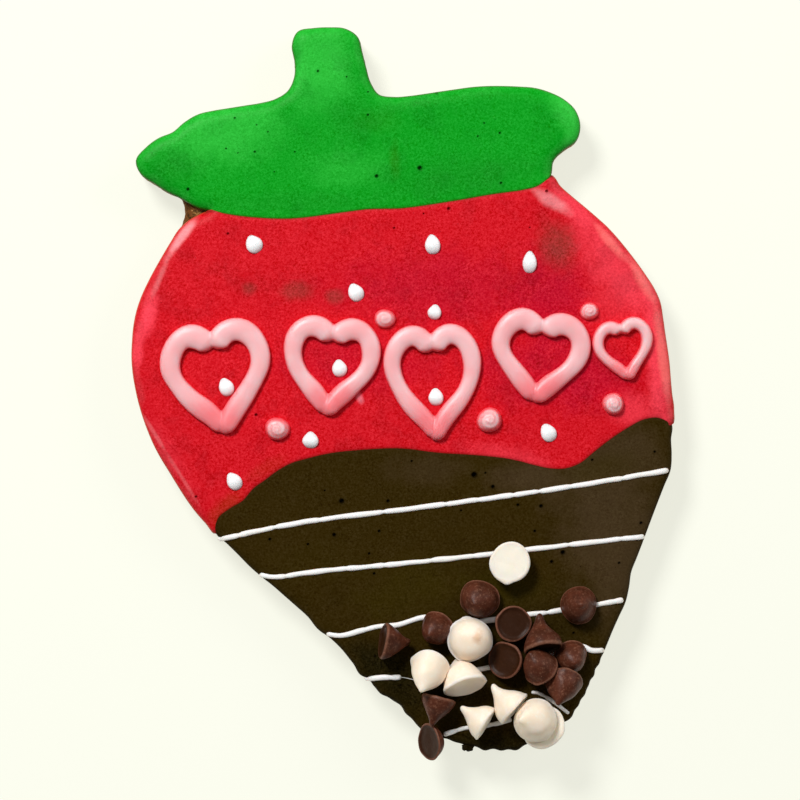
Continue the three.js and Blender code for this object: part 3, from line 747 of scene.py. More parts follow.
class Finish:
    """A procedural material in the making. Lengths in it are in millimetres."""

    def __init__(self, name):
        self.material = bpy.data.materials.new(name)
        self.material.use_nodes = True
        self.tree = self.material.node_tree
        self.tree.nodes.clear()
        place = self.node("ShaderNodeTexCoord", output="Object")
        self.place = self.node("ShaderNodeVectorMath", {"operation": "SCALE"}, {0: place, "Scale": 1 / MM})

    def node(self, kind, settings=None, inputs=None, output=0):
        """Adds a node with its settings and its sockets' values or links. Gives one of its outputs."""
        made = self.tree.nodes.new(kind)
        for key, value in (settings or {}).items():
            setattr(made, key, value)
        for key, value in (inputs or {}).items():
            if isinstance(value, Wire):
                self.tree.links.new(value.socket, made.inputs[key])
            else:
                made.inputs[key].default_value = value
        return Wire(self, made.outputs[output]) if made.outputs else None

    def noise(self, size, detail=2.0, roughness=0.5):
        """Cloudy noise of about that size in millimetres, from 0 to 1."""
        inputs = {"Vector": self.place, "Scale": 1 / size, "Detail": detail, "Roughness": roughness}
        return self.node("ShaderNodeTexNoise", {}, inputs, "Fac")

    def between(self, value, low, high):
        """A value brought to 0 at low and 1 at high, smoothly and no further."""
        inputs = {0: value, "From Min": low, "From Max": high}
        return self.node("ShaderNodeMapRange", {"interpolation_type": "SMOOTHSTEP"}, inputs)

    def blend(self, share, first, second, how="MIX"):
        """One colour going over into another."""
        first, second = (tuple(c) + (1,) if not isinstance(c, Wire) else c for c in (first, second))
        settings = {"data_type": "RGBA", "blend_type": how, "clamp_result": True}
        return self.node("ShaderNodeMix", settings, {0: share, 6: first, 7: second}, 2)

    def mark(self, name):
        """A value that the mesh carries at its points."""
        return self.node("ShaderNodeAttribute", {"attribute_name": name}, {}, "Fac")

    def upright(self):
        """How far the surface faces up, 1 where it is level."""
        normal = self.node("ShaderNodeNewGeometry", output="Normal")
        return self.node("ShaderNodeSeparateXYZ", {}, {0: normal}, 2)

    def spot(self, x, y, width, height, turn, wobble):
        """A soft patch seen from above, 1 in its middle and 0 outside, with an uneven edge."""
        FLAT = 1e6  # so large that the height of a point doesn't count
        shape = {"Vector": self.place, "Location": (x, y, 0), "Rotation": (0, 0, math.radians(turn))}
        shape["Scale"] = (width / 2, height / 2, FLAT)
        inside = self.node("ShaderNodeMapping", {"vector_type": "TEXTURE"}, shape)
        away = self.node("ShaderNodeVectorMath", {"operation": "LENGTH"}, {0: inside}, "Value")
        return 1 - self.between(away + wobble, 0.25, 1.25)

    def dots(self, spacing, radius, share):
        """Small round dots scattered over the surface: 1 inside them, in a given share of the cells."""
        TINY = 1e-4
        inputs = {"Vector": self.place, "Scale": 1 / spacing}
        away = self.node("ShaderNodeTexVoronoi", {}, inputs, "Distance")
        cell = self.node("ShaderNodeTexVoronoi", {}, inputs, "Color")
        chosen = self.node("ShaderNodeSeparateColor", {}, {0: cell}, 0)
        size = chosen * (radius / share / spacing)
        inside = 1 - self.between(away / (size + TINY), 0.6, 1.0)
        return inside * self.node("ShaderNodeMath", {"operation": "LESS_THAN"}, {0: chosen, 1: share})

    def surface(self, base, roughness, relief=None, relief_depth=0.02, **constants):
        """Ends the material in a Principled shader. relief runs from 0 to 1, its depth in millimetres."""
        inputs = {"Base Color": base, "Roughness": roughness}
        if relief is not None:
            bump = {"Height": relief, "Distance": relief_depth * MM, "Strength": 1.0}
            inputs["Normal"] = self.node("ShaderNodeBump", {}, bump)
        inputs.update({key.replace("_", " "): value for key, value in constants.items()})
        shader = self.node("ShaderNodeBsdfPrincipled", {}, inputs)
        self.node("ShaderNodeOutputMaterial", {}, {"Surface": shader})
        return self.material


# Painted highlight: the pale strip where light catches the inside of the icing's rounded rim.
SHEEN_IN, SHEEN_OUT = (0.3, 0.62), (0.78, 0.92)  # where the pale strip inside the rim begins and ends
SCREEN_STEP = 0.11  # how much light makes the same small step in the look of a bright part and a dim one
CLOUD = (0.56, 0.54, 0.56)  # what the clouds in the icing's colour multiply it by
PINK_GLOW = (1.0, 0.35, 0.3)  # how far red, green and blue light run in the icing, against each other
WHITE_GLOW = (1.0, 0.9, 0.9)
CHOCOLATE_GLOW = (1.0, 0.8, 0.6)

# How each field of icing looks: the colours of its seams, partly painted crease shade, and of its edge,
# its patches with their colours, some of them painted highlight or shade, how bright a pit's painted
# shade is as a share of the icing, how strong the grain is, how rough the icing is and how much it shines.
ICING_LOOKS = {
    "green": {
        "crease": srgb(70, 66, 14), "edge": srgb(60, 104, 22), "pit": 0.3, "grained": 1.8,
        "roughness": 0.42, "gloss": 0.06,
        "patches": [
            (GREEN_PALE_AND_LIT, srgb(44, 184, 56)), (GREEN_DEEP_AND_SHADED, srgb(14, 144, 28)),
            (GREEN_SMEARS, srgb(38, 134, 12)),
        ],
    },
    "red": {
        "crease": srgb(112, 26, 10), "edge": srgb(206, 78, 44), "pit": 0.34, "grained": 2.3,
        "roughness": 0.4, "gloss": 0.07,
        "patches": [
            (RED_DEEP_AND_SHADED, srgb(184, 10, 44)), (RED_PALE_AND_HIGHLIGHTS, srgb(248, 66, 82)), (RED_HIGHLIGHT_STREAKS, srgb(255, 158, 162)),
            (RED_RIM_HIGHLIGHTS, srgb(255, 108, 106)), (RED_DULL, srgb(176, 38, 20)), (GREASE_MARKS, srgb(134, 58, 50)),
            (SCUFFS, srgb(240, 130, 144)),
        ],
    },
    "chocolate": {
        "crease": srgb(48, 26, 8), "edge": srgb(46, 34, 14), "pit": 0.1, "grained": 0.95,
        "roughness": 0.6, "gloss": 0.02,
        "patches": [
            (CHOCOLATE_WARM, srgb(66, 51, 30)), (CHOCOLATE_OLIVE, srgb(52, 42, 2)),
            (CHOCOLATE_DEEP_AND_SHADED, srgb(28, 23, 3)),
        ],
    },
}

# How each kind of chocolate looks: its clouds, its scuffs and specks, the specks partly painted glints,
# its flat underside, its painted dent shade, how much it shines and how much light runs inside it.
CHIP_LOOKS = {
    "dark": {
        "shade": srgb(54, 26, 14), "light": srgb(164, 116, 92), "plate": srgb(48, 23, 6), "dent_shade": [],
        "gloss": 0.15, "see_through": 0.0,
    },
    "white": {
        "shade": srgb(253, 228, 202), "light": srgb(255, 253, 246), "plate": srgb(255, 241, 224),
        "dent_shade": CHIP_DENT_SHADE, "gloss": 0.3, "see_through": 0.5,
    },
}


def icing_finish(name, colours):
    """Set icing: the colour drifts in soft patches, some of them painted highlight or shade, with a sandy
    grain, pores and pits darkened with painted shade, a pale strip of painted highlight inside the outer
    edge, and a dark line at the edge and at the seams, at the seams partly painted crease shade."""
    finish = Finish(name + " icing")
    look = ICING_LOOKS[name]
    base = getattr(colours, name)
    tone = base
    wobble = (finish.noise(3.5, 3, 0.6) - 0.5) * 1.1
    speckle = 0.7 + finish.noise(0.6, 3, 0.7) * 0.6
    for marks, tint in look["patches"]:
        for *shape, strength in marks:
            tone = finish.blend(finish.spot(*shape, wobble) * speckle * strength, tone, tint)
    rim = finish.mark("rim")
    # Painted highlight along the rim's shoulder, screened on in a paler tone.
    rim_sheen = finish.between(rim, *SHEEN_IN) * (1 - finish.between(rim, *SHEEN_OUT))
    rim_sheen *= finish.between(finish.noise(5), 0.4, 0.62)
    pale = [0.6 * part + 0.09 * max(base) for part in base]
    tone = finish.blend(rim_sheen * 0.3, tone, pale, "SCREEN")
    clouds = finish.between(finish.noise(5, 4, 0.65), 0.46, 0.72)
    tone = finish.blend(clouds * (0.17 * look["grained"]), tone, CLOUD, "MULTIPLY")
    grain = (finish.noise(0.36, 3, 0.85) - 0.5) * 6
    grain *= finish.between(finish.noise(3), 0.2, 0.8) * 0.5 + 0.5
    step = [look["grained"] * SCREEN_STEP * (part + 0.005) ** 0.58 for part in base]
    tone = finish.blend(grain, tone, step, "ADD")
    tone = finish.blend(grain * -1, tone, step, "SUBTRACT")
    pores = finish.dots(1.4, 0.11, 0.3)
    # Painted shade in the pores.
    tone = finish.blend(pores * 0.5, tone, [0.3 * part for part in base])
    # Painted shade in the pits.
    tone = finish.blend(finish.mark("pit") * 0.9, tone, [look["pit"] * part for part in base])
    # The dark line at the seams: partly painted crease shade, partly the fields' own darker join.
    tone = finish.blend(finish.mark("seam") * 0.75, tone, look["crease"])
    tone = finish.blend(finish.between(rim, 0.86, 1.0) * 0.8, tone, look["edge"])
    relief = finish.noise(0.55, 2, 0.55) * 0.6 + finish.noise(0.24, 1) * 0.4 - pores
    rough = finish.noise(6) * 0.14 + (look["roughness"] - 0.07)
    return finish.surface(tone, rough, relief, 0.05, Specular_IOR_Level=look["gloss"])


def piping_finish(name, top, shade, side, glow, deep=1.8, pools=()):
    """Smooth piped icing, a little see-through, with painted shade in a deeper colour where its surface is
    steep, and deeper in colour in its pools. glow is how red, green and blue light run inside it, and deep
    how far in millimetres."""
    finish = Finish(name)
    tone = finish.blend(finish.between(finish.noise(5), 0.3, 0.7) * 0.6, top, shade)
    for shape in pools:
        tone = finish.blend(finish.spot(*shape, 0, (finish.noise(2.5) - 0.5) * 0.6) * 0.68, tone, side)
    # Painted shade: steep faces take the deeper side colour.
    tone = finish.blend(finish.between(finish.upright(), 0.35, 0.98), side, tone)
    relief = finish.noise(0.9) * 0.7 + finish.noise(0.25, 1) * 0.3
    rough = finish.noise(3, 1) * 0.1 + 0.3
    return finish.surface(
        tone, rough, relief, 0.02, Specular_IOR_Level=0.35, Subsurface_Weight=0.8,
        Subsurface_Radius=glow, Subsurface_Scale=deep * MM,
    )


def chip_finish(kind, colours):
    """Moulded chocolate: waxy, cloudy, scuffed, dusted with bright specks that are partly painted glints,
    with painted shade in a white chip's dent, and pale at its base's lip.
    """
    finish = Finish(kind + " chocolate")
    look = CHIP_LOOKS[kind]
    cloud = finish.between(finish.noise(2.2, 4, 0.6), 0.36, 0.68)
    tone = finish.blend(cloud * 0.7, getattr(colours, kind + "_chip"), look["shade"])
    # Painted shade in a chip's dent.
    for *shape, strength in look["dent_shade"]:
        wobble = (finish.noise(0.8) - 0.5) * 0.8
        tone = finish.blend(finish.spot(*shape, wobble) * strength, tone, srgb(206, 160, 112))
    tone = finish.blend(finish.mark("plate"), tone, look["plate"])
    scuff = finish.between(finish.noise(0.5, 4, 0.8), 0.5, 0.72)
    flank = 1 - finish.mark("plate") * 0.9
    tone = finish.blend(scuff * flank * 0.4 + finish.mark("lip") * 0.3, tone, look["light"])
    # Bright specks: partly bloom, partly painted glints.
    specks = finish.dots(0.9, 0.1, 0.45)
    tone = finish.blend(specks * flank * 0.7, tone, look["light"])
    relief = finish.noise(1.1, 3, 0.6) * 0.8 + finish.noise(0.3) * 0.3
    rough = finish.noise(1.6) * 0.2 + 0.32
    return finish.surface(
        tone, rough, relief, 0.07, Specular_IOR_Level=look["gloss"], Subsurface_Weight=look["see_through"],
        Subsurface_Radius=CHOCOLATE_GLOW, Subsurface_Scale=2.2 * MM,
    )


def biscuit_finish(colours):
    """Baked dough: pale and sandy, browner low on the side, underneath and at its edges."""
    finish = Finish("baked cookie")
    crumb = finish.noise(0.8, 5, 0.7)
    patches = finish.between(finish.noise(7, 3, 0.6), 0.34, 0.68)
    browning = finish.mark("browning") + (crumb - 0.5) * 0.7 + (patches - 0.5) * 0.35
    tone = finish.blend(finish.between(browning, 0.15, 0.95), colours.baked, colours.browned)
    upright = finish.between(finish.upright(), 0.3, 0.8)
    dark = finish.between(finish.noise(0.7, 4, 0.75), 0.47, 0.62) * (upright * 0.5 + 0.3)
    tone = finish.blend(dark, tone, srgb(52, 37, 12))
    tone = finish.blend(finish.dots(0.9, 0.2, 0.4) * 0.55, tone, srgb(220, 178, 116))
    relief = crumb * 0.7 + finish.noise(0.3, 3, 0.6) * 0.4 - dark * 0.5
    return finish.surface(tone, 0.86, relief, 0.2, Specular_IOR_Level=0.15)


# ---- the pieces ----


def make_biscuit(sizes, colours):
    """The baked cookie: a crumbly wall, a browned underside, and a rough top for the bare notch."""
    SIDE_ROWS = 22
    COARSER = 1.2  # how much further apart its points lie than those of the icing's edge
    step = COARSER * sizes.edge_step / MM
    loop = smooth_through(side_ring("biscuit", WIDEST_BISCUIT * BISCUIT_TOP), step, closed=True)
    side = smooth_through(BISCUIT_SIDE, 0.05, closed=False)
    side = side[np.linspace(0, len(side) - 1, SIDE_ROWS).astype(int)]
    points, rings = wall(loop, [(inset, max(0, share) * BISCUIT_TOP) for inset, share in side], 0)
    outward = np.vstack([-inward(loop)] * SIDE_ROWS)
    share = points[:, 2] / BISCUIT_TOP
    rough = 0.5 * ripple(points, 2.4, 21, 20) + 0.45 * ripple(points, 0.9, 22, 24) - 0.3
    rough *= sizes.crumb / MM * np.sin(math.pi * np.clip(share, 0, 1)) ** 0.4
    points[:, :2] += outward * rough[:, None]
    faces = skin(rings)
    browning = 0.55 + 0.45 * np.cos(2 * math.pi * share)
    for ring, is_top in ((rings[0], False), (rings[-1], True)):
        inner, heights, caps, brown = biscuit_face(points[ring][:, :2], is_top)
        numbers = ring + list(range(len(points), len(points) + len(inner)))
        faces += [[numbers[index] for index in face] for face in caps]
        points = np.vstack([points, np.column_stack([inner, heights])])
        browning = np.concatenate([browning, np.full(len(inner), brown)])
    marks = {"browning": browning}
    add_piece("baked_cookie", points, faces, biscuit_finish(colours), ["biscuit"], marks)


def biscuit_face(edge, is_top):
    """The cookie's top or its underside inside an edge: its inner points seen from above, their
    heights, its faces, in which the edge's points come first, and how brown it is."""
    GRID, CLEAR = 0.8, 0.5  # distance between its points, and from the edge to the nearest
    TOP_BROWN, TOP_GRAIN = 0.45, 0.09
    UNDERSIDE_BROWN, UNDERSIDE_GRAIN = 0.72, 0.1
    inner = honeycomb(edge, GRID)
    inner = inner[is_inside(inner, edge)]
    inner = inner[distance_to_loop(inner, edge) > CLEAR]
    flat, caps, places = triangulate(edge, inner)
    extra = sorted(set(range(len(flat))) - set(places))
    number = {index: i for i, index in enumerate([*places, *extra])}
    faces = [[number[index] for index in (face if is_top else face[::-1])] for face in caps]
    inner = flat[extra]
    grain = ripple(inner, 1.7, 23, 20) + 0.6 * ripple(inner, 3.8, 24)
    if is_top:
        return inner, BISCUIT_TOP + TOP_GRAIN * grain, faces, TOP_BROWN
    return inner, UNDERSIDE_GRAIN * np.maximum(grain - 0.4, 0), faces, UNDERSIDE_BROWN


def make_seeds(sizes, colours):
    """White icing seeds, each full at one end and drawn out to a point at the other."""
    ROWS = 26
    FULLEST = 0.42  # share of a seed's length at which it is widest
    field = icing_fields(sizes)["red"]
    bodies = []
    for number, (x, y, width, long, points_to) in enumerate(SEEDS):
        way = heading(points_to)
        side = np.array([-way[1], way[0]])
        rng = random.Random(number)
        t = (1 - np.cos(np.linspace(0, math.pi, ROWS))) / 2
        bend = rng.uniform(-0.06, 0.06) * width * np.sin(math.pi * t)
        path = np.array([x, y]) + (t - 0.5)[:, None] * long * way + bend[:, None] * side
        full = np.sqrt(np.clip(1 - (1 - np.clip(t / FULLEST, 0, 1)) ** 2, 0, 1))
        drawn_out = np.clip((t - FULLEST) / (1 - FULLEST), 0, 1)
        share = full * np.cos(drawn_out * math.pi / 2) ** 0.9
        floor = float(field.top(np.array([[x, y]]))[0][0])
        half = share * (SEED_HEIGHT + SUNK) / 2 * (0.75 + 0.25 * share)
        bodies.append(tube(path, share * width / 2, half, floor - SUNK + half, around=20))
    points, faces = gather(bodies)
    points += 0.012 * ripples(points, [(2.4, 31), (2.4, 32), (2.4, 33)])
    # Top colour, a second tone, and painted shade for the steep faces.
    tones = colours.white, srgb(250, 246, 248), srgb(240, 232, 238)
    finish = piping_finish("white icing", *tones, WHITE_GLOW, 0.9)
    add_piece("icing_seeds", points, faces, finish, ["icing_red"])


def make_drizzle(sizes, colours):
    """White lines drizzled over the chocolate icing and its edge, thicker and thinner on the way."""
    STEP, WAVER = 0.2, 0.03
    GAPS = (4, 11)  # distance between two places where a line is pinched
    PINCH = (0.1, 0.34)  # how much thinner it is there
    DROOP = 1.5  # how far a line hangs down for each millimetre that it reaches past the edge
    field = icing_fields(sizes)["chocolate"]
    bodies = []
    for number, (width, *knots) in enumerate(DRIZZLE):
        path, run = wavering(knots, STEP, WAVER, [(6, 41 + number), (5, 51 + number)])
        ends, _ = rounded_ends(path, width * 0.7)
        rng = random.Random(60 + number)
        place = rng.uniform(2, 7)
        pinches = np.zeros(len(path))
        while place < run[-1, 0]:
            pinches += rng.uniform(*PINCH) * hump(run[:, 0], place, 0.4)
            place += rng.uniform(*GAPS)
        full = ends * (1 + 0.08 * ripple(run, 7, 71 + number) - pinches)
        outward = full * width / 2
        upward = full * (DRIZZLE_HEIGHT * min(1, width) + SUNK) / 2
        outside = distance_to_loop(path, field.outline) * ~is_inside(path, field.outline)
        middle = field.top(path)[0] - SUNK + 0.8 * upward - DROOP * outside
        bodies.append(tube(path, outward, upward, middle, around=16))
    points, faces = gather(bodies)
    # Top colour, a second tone, and painted shade for the steep faces.
    tones = colours.white, srgb(255, 240, 230), srgb(244, 228, 218)
    finish = piping_finish("white drizzle", *tones, WHITE_GLOW, 0.4)
    add_piece("icing_drizzle", points, faces, finish, ["icing_chocolate"])


def make_crumb(sizes, colours):
    """A crumb of chocolate icing that hangs on the cookie's lower edge."""
    ROWS = 24
    HALF_HEIGHT, RISE = 0.75, 0.8  # its own, and how far its middle lies above the icing's underside
    LUMPS, ROUGH = 0.9, 0.16  # how large its lumps are, and how far they stand out
    x, y, width, depth = CRUMB
    turn = np.linspace(0, math.pi, ROWS)
    path = np.column_stack([x - width / 2 * np.cos(turn), np.full(ROWS, y)])
    full = np.sin(turn) ** 0.8
    middle = np.full(ROWS, ICING_BOTTOM + RISE)
    points, faces = tube(path, full * depth / 2, full * HALF_HEIGHT, middle, around=24)
    points += ROUGH * ripples(points, [(LUMPS, seed) for seed in (201, 202, 203)])
    # The whole crumb is darkened by the pit mark, at half strength.
    marks = {"pit": np.full(len(points), 0.5)}
    finish = icing_finish("chocolate", colours)
    add_piece("icing_crumb", points, faces, finish, ["icing_chocolate"], marks)


def heart_line(side, count):
    """Half of a heart's line, from its notch over one lobe to its point, one unit wide and high in
    all. The right half runs on over the end of the left half."""
    START, LEFT_END, RIGHT_END = 0.36, math.pi * 0.93, math.pi * 0.998
    MIDDLE, HEIGHT = -2.55, 28.9  # of the curve that the formula gives
    t = np.linspace(START, LEFT_END if side < 0 else RIGHT_END, count)
    x = side * np.sin(t) ** 3 / 2
    y = 13 * np.cos(t) - 5 * np.cos(2 * t) - 2 * np.cos(3 * t) - np.cos(4 * t)
    return np.column_stack([x, (y - MIDDLE) / HEIGHT])


def heart_node(number):
    return f"piped_heart_{number + 1:02d}"


def heart_pool(number):
    """The patch at a heart's point where more icing gathered: [x, y, width, height]."""
    lowest, size = node_box(heart_node(number))
    return (lowest[0] + 0.5 * size[0], lowest[1] + 0.1 * size[1], 0.7 * size[0], 0.6 * size[1])


def make_hearts(sizes, colours):
    """Pink hearts, each piped as two strokes: down the left side first, then down the right side on
    top of it."""
    # Top colour, a second tone, and painted shade for the steep faces.
    tones = colours.pink, srgb(255, 166, 169), srgb(255, 96, 106)
    pools = [heart_pool(number) for number in range(len(HEARTS))]
    finish = piping_finish("pink icing", *tones, PINK_GLOW, pools=pools)
    for number, (share, turn) in enumerate(HEARTS):
        node = heart_node(number)
        lowest, size = node_box(node)
        rng = random.Random(80 + number)
        seed = 90 + 10 * number
        strokes = [heart_stroke(side, size, share * size[0], seed + side, rng) for side in (-1, 1)]
        points, faces = gather(strokes)
        ahead, across = heading(turn), heading(turn + 90)
        turned = points[:, :2] @ np.array([ahead, across])
        span = turned.max(0) - turned.min(0)
        points[:, :2] = (turned - turned.min(0)) / span * size[:2] + lowest[:2]
        mesh = melted(node + "_icing", points, faces, sizes.piping_grain / MM, 5)
        add_object(node + "_icing", mesh, finish, [node])


def heart_stroke(side, size, width, seed, rng):
    """One stroke of a heart, with a blob where it starts, thinner on the way, and drawn out where it
    ends. The second stroke lies on the first where they meet."""
    STEP, WAVER, KNOTS = 0.22, 0.07, 40
    SUNK_IN = 0.3  # how deep the stroke lies in the icing
    LIFT = 0.28  # how much higher the second stroke lies where it crosses the first
    line = heart_line(side, KNOTS) * (size[:2] - width)
    path, run = wavering(line, STEP, WAVER, [(11, seed), (9, seed + 100)])
    ends, t = rounded_ends(path, width / 2)
    bulbs = 0.05 * hump(t, 0.12, 0.12) - 0.22 * hump(t, 1, 0.1)
    thin = 0.13 * hump(t, 0.6 + rng.uniform(-0.08, 0.08), 0.14)
    full = 1 + bulbs - thin + 0.018 * ripple(run, 5, seed + 200)
    upward = ends * (0.62 * size[2] * (0.75 + 0.3 * full)) * 0.62
    lift = (LIFT if side > 0 else 0) * (hump(t, 1, 0.14) + hump(t, 0, 0.1))
    middle = ICING_TOP - SUNK_IN + upward * 0.9 + lift
    return tube(path, ends * width / 2 * full, upward, middle, around=26)


def make_dots(sizes, colours):
    """Pink dots, each with the small curl that the nozzle leaves."""
    AROUND, ROWS = 48, 26
    LOWEST = -0.35  # the angle of its lowest ring, a little under its widest
    FLATTER = 0.6  # how much flatter it is below its widest ring
    TIP_OUT, TIP_SPREAD, TIP_HEIGHT = 0.2, 0.02, 0.06  # of the tip where the nozzle left
    # The last colour is painted shade for the dots' steep faces.
    finish = piping_finish("pink dots", colours.pink, srgb(255, 168, 171), srgb(255, 88, 98), PINK_GLOW)
    for number in range(DOTS):
        node = f"piped_dot_{number + 1:02d}"
        lowest, size = node_box(node)
        rng = random.Random(140 + number)
        tip = rng.uniform(0, 2 * math.pi)
        phase = rng.uniform(0, 2 * math.pi)
        rings, points = [], []
        for row in range(ROWS + 1):
            rise = LOWEST + row / ROWS * (math.pi / 2 - LOWEST)
            out, up = math.cos(rise), math.sin(rise)
            for turn in (circle(AROUND) if row < ROWS else [0]):
                uneven = 1 + 0.035 * math.cos(2 * turn + phase) + 0.02 * math.cos(3 * turn - phase)
                swirl = 0.03 * math.sin(13 * out - turn + phase) * out * (1 - out) * 4
                x, y = out * uneven * math.cos(turn), out * uneven * math.sin(turn)
                from_tip = (x - TIP_OUT * math.cos(tip)) ** 2 + (y - TIP_OUT * math.sin(tip)) ** 2
                near = math.exp(-from_tip / TIP_SPREAD)
                z = up * (1 if up > 0 else FLATTER) + swirl + TIP_HEIGHT * near
                points.append(lowest + size * [(1 + x) / 2, (1 + y) / 2, 0.93 * z])
            first = row * AROUND
            rings.append(list(range(first, first + AROUND)) if row < ROWS else [first])
        faces = skin(rings)
        faces.append(rings[0][::-1])
        add_piece(node + "_icing", points, faces, finish, [node])


def chip_shape(bend_way, bend, height, dome, nub_way, nub, dish, seed):
    """A chip of unit diameter on its base: dished below with a thin rim, flanks that draw in to a soft
    peak. Also marks its base plate and the lip round it."""
    AROUND = 44
    RIM = 0.85  # share of the half width from which the nub stands out
    PLATE = 0.88  # share of the half width up to which the base counts as its plate
    LIP_TOP = 0.1  # height up to which the lip shows
    BENT = 0.45  # height from which the tip leans over
    UNROUND = (0.026, 0.018, 0.01)  # how far it is from round, in two, three and four waves
    UNEVEN = 0.0065
    base = np.array(CHIP_BASE) * [1, dish]
    side = (1 - dome) * np.array(CHIP_PEAKED) + dome * np.array(CHIP_DOMED)
    profile = smooth_through(np.vstack([base, side]), 0.04, closed=False)
    on_base = np.arange(len(profile)) < np.argmin(np.hypot(*(profile - base[-1]).T))
    kept = profile[:, 0] > 0.01
    rng = random.Random(seed)
    turns = circle(AROUND)
    phases = [rng.uniform(0, 2 * math.pi) for _ in range(3)]
    waves = zip((2, 3, 4), UNROUND, phases)
    uneven = 1 + sum(size * np.cos(n * turns + phase) for n, size, phase in waves)
    flash = nub * hump(np.cos(turns - math.radians(nub_way)), 1, 0.025)
    points, rings, plate, lip = [[0, 0, dish * height]], [[0]], [1], [0]
    lean = heading(bend_way) * bend
    for (share, rise), below in zip(profile[kept], on_base[kept]):
        radius = share / 2 * (uneven + flash * hump(rise, 0.04, 0.05) * (share > RIM))
        x, y = lean * max(0, (rise - BENT) / (1 - BENT)) ** 2
        level = rise * height * (1 - 0.25 * bend * max(0, rise - 0.5))
        rings.append(list(range(len(points), len(points) + AROUND)))
        for out, turn in zip(radius, turns):
            points.append([x + out * math.cos(turn), y + out * math.sin(turn), level])
        plate += [float(below and share < PLATE)] * AROUND
        lip += [hump(share, 0.98, 0.05) * (rise < LIP_TOP)] * AROUND
    rings.append([len(points)])
    points.append([*lean, height * (1 - 0.125 * bend)])
    points = np.array(points, float)
    fine, broad = (ripples(points, [(size, seed + i) for i in seeds]) for size, seeds in CHIP_WAVES)
    points += UNEVEN * (fine + 0.9 * broad)
    return points, skin(rings), {"plate": [*plate, 0], "lip": [*lip, 0]}


def make_chips(kind, colours):
    """Chocolate chips of one kind, each turned and sized to lie where its node does."""
    finish = chip_finish(kind, colours)
    for number, (width, direction, rise, *form) in enumerate(CHIPS[kind]):
        node = f"chip_{kind}_{number + 1:02d}"
        lowest, size = node_box(node)
        seed = 600 + number * 7 + len(kind)
        points, faces, marks = chip_shape(*form, CHIP_DISH[kind], seed)
        level = math.cos(math.radians(rise))
        way = Vector((*(heading(direction) * level), math.sin(math.radians(rise))))
        points = points @ np.array(Vector((0, 0, 1)).rotation_difference(way).to_matrix()).T
        points = (points - (points.min(0) + points.max(0)) / 2) * width + lowest + size / 2
        points[:, 2] += lowest[2] - points[:, 2].min()
        add_piece(node + "_drop", points, faces, finish, [node], marks)


def make_stage(stage):
    """The floor, the camera straight above the cookie and the lights."""
    lay_floor(stage)
    scene = bpy.context.scene
    data = bpy.data.cameras.new("camera")
    data.sensor_width = 36
    data.lens = data.sensor_width * (stage.camera_height - ICING_TOP * MM) / stage.view_width
    camera = bpy.data.objects.new("camera", data)
    camera.location = (*(part * MM for part in PICTURE_MIDDLE), stage.camera_height)
    scene.collection.objects.link(camera)
    scene.camera = camera

    for (name, place, size), watts in zip(LIGHTS, (stage.key_power, stage.side_power)):
        lamp = bpy.data.lights.new(name, "AREA")
        lamp.shape = "DISK"
        lamp.size = size
        lamp.energy = watts
        holder = bpy.data.objects.new(name, lamp)
        holder.location = place
        holder.rotation_euler = (-Vector(place)).to_track_quat("-Z", "Y").to_euler()
        scene.collection.objects.link(holder)

    world = bpy.data.worlds.new("sky")
    world.use_nodes = True
    background = world.node_tree.nodes["Background"]
    background.inputs["Color"].default_value = (1, 1, 1, 1)
    background.inputs["Strength"].default_value = stage.sky
    scene.world = world
    scene.view_settings.view_transform = "Standard"


def lay_floor(stage):
    """A pale floor that glows by itself, so that the shadows on it stay faint."""
    half, level = FLOOR_WIDTH / 2, FLOOR_LEVEL * MM
    square = [(-half, -half, level), (half, -half, level), (half, half, level), (-half, half, level)]
    mesh = bpy.data.meshes.new("floor")
    mesh.from_pydata(square, [], [(0, 1, 2, 3)])
    floor = bpy.data.objects.new("floor", mesh)
    bpy.context.scene.collection.objects.link(floor)
    finish = Finish("pale floor")
    dimmed = [(1 - FLOOR_GLOW) * part for part in stage.floor]
    tone = finish.blend(finish.noise(60) * 0.02, dimmed, [0.97 * part for part in dimmed])
    glow = {"Emission_Color": (*stage.floor, 1), "Emission_Strength": FLOOR_GLOW}
    mesh.materials.append(finish.surface(tone, 0.9, Specular_IOR_Level=0.0, **glow))


# ---- the add-on ----


class CookieStep:
    """What the operators share: each makes its pieces with the scene's sizes and colours."""

    bl_options = {"REGISTER", "UNDO"}

    def execute(self, context):
        self.make(context.scene.cookie_sizes, context.scene.cookie_colours)
        return {"FINISHED"}


class COOKIE_OT_biscuit(CookieStep, bpy.types.Operator):
    """Make the baked cookie"""

    bl_idname = "cookie.biscuit"
    bl_label = "Baked cookie"
    make = staticmethod(make_biscuit)


class COOKIE_OT_icing(CookieStep, bpy.types.Operator):
    """Make the green, red and chocolate fields of icing"""

    bl_idname = "cookie.icing"
    bl_label = "Fields of icing"

    def make(self, sizes, colours):
        for name, field in icing_fields(sizes).items():
            ice(field, icing_finish(name, colours))


class COOKIE_OT_seeds(CookieStep, bpy.types.Operator):
    """Make the white icing seeds"""

    bl_idname = "cookie.seeds"
    bl_label = "Seeds"
    make = staticmethod(make_seeds)


class COOKIE_OT_drizzle(CookieStep, bpy.types.Operator):
    """Make the white drizzle"""

    bl_idname = "cookie.drizzle"
    bl_label = "Drizzle"
    make = staticmethod(make_drizzle)


class COOKIE_OT_crumb(CookieStep, bpy.types.Operator):
    """Make the crumb on the lower edge"""

    bl_idname = "cookie.crumb"
    bl_label = "Crumb"
    make = staticmethod(make_crumb)


class COOKIE_OT_hearts(CookieStep, bpy.types.Operator):
    """Make the piped hearts"""

    bl_idname = "cookie.hearts"
    bl_label = "Hearts"
    make = staticmethod(make_hearts)


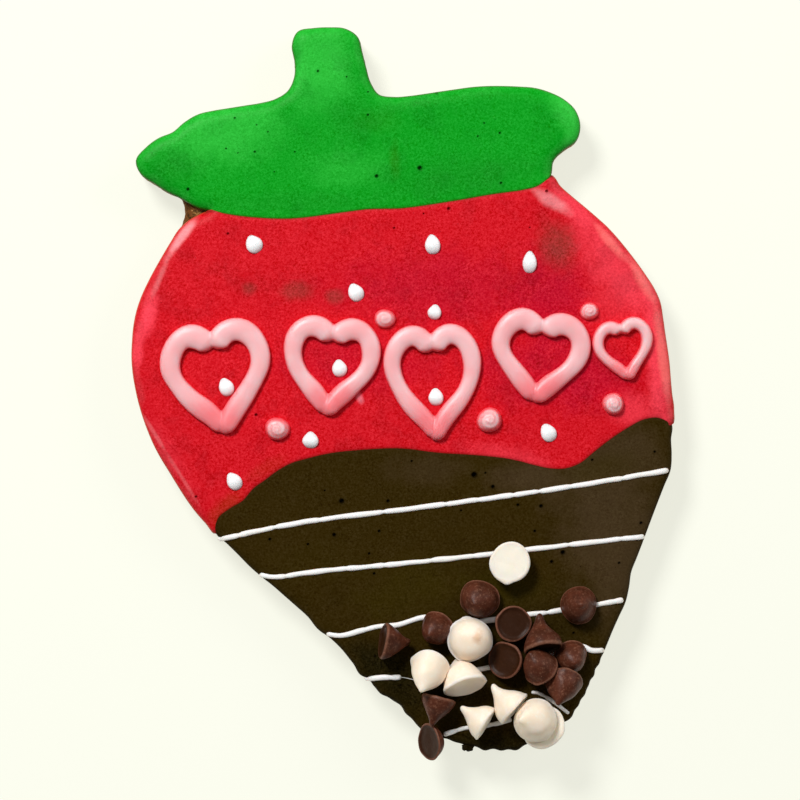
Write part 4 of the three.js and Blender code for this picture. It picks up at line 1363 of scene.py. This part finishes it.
class COOKIE_OT_dots(CookieStep, bpy.types.Operator):
    """Make the piped dots"""

    bl_idname = "cookie.dots"
    bl_label = "Dots"
    make = staticmethod(make_dots)


class COOKIE_OT_dark_chips(CookieStep, bpy.types.Operator):
    """Make the dark chocolate chips"""

    bl_idname = "cookie.dark_chips"
    bl_label = "Dark chips"

    def make(self, sizes, colours):
        make_chips("dark", colours)


class COOKIE_OT_white_chips(CookieStep, bpy.types.Operator):
    """Make the white chocolate chips"""

    bl_idname = "cookie.white_chips"
    bl_label = "White chips"

    def make(self, sizes, colours):
        make_chips("white", colours)


class COOKIE_OT_stage(bpy.types.Operator):
    """Lay the floor, hang the camera and set the lights"""

    bl_idname = "cookie.stage"
    bl_label = "Stage"

    def execute(self, context):
        make_stage(context.scene.cookie_stage)
        return {"FINISHED"}


STEPS = (
    COOKIE_OT_biscuit, COOKIE_OT_icing, COOKIE_OT_seeds, COOKIE_OT_drizzle, COOKIE_OT_crumb,
    COOKIE_OT_hearts, COOKIE_OT_dots, COOKIE_OT_dark_chips, COOKIE_OT_white_chips, COOKIE_OT_stage,
)


class COOKIE_PT_panel(bpy.types.Panel):
    """Lists the settings and the steps."""

    bl_label = "Strawberry cookie"
    bl_space_type = "VIEW_3D"
    bl_region_type = "UI"
    bl_category = "Cookie"

    def draw(self, context):
        for group in (context.scene.cookie_sizes, context.scene.cookie_colours, context.scene.cookie_stage):
            box = self.layout.box()
            for name in group.__annotations__:
                box.prop(group, name)
        for step in STEPS:
            self.layout.operator(step.bl_idname)


GROUPS = {"cookie_sizes": CookieSizes, "cookie_colours": CookieColours, "cookie_stage": CookieStage}


def register():
    for part in (*GROUPS.values(), *STEPS, COOKIE_PT_panel):
        bpy.utils.register_class(part)
    for name, group in GROUPS.items():
        setattr(bpy.types.Scene, name, PointerProperty(type=group))


def unregister():
    for name in GROUPS:
        delattr(bpy.types.Scene, name)
    for part in reversed((*GROUPS.values(), *STEPS, COOKIE_PT_panel)):
        bpy.utils.unregister_class(part)


def main():
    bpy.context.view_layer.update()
    register()
    for step in STEPS:
        group, name = step.bl_idname.split(".")
        getattr(getattr(bpy.ops, group), name)()


if __name__ == "__main__":
    main()
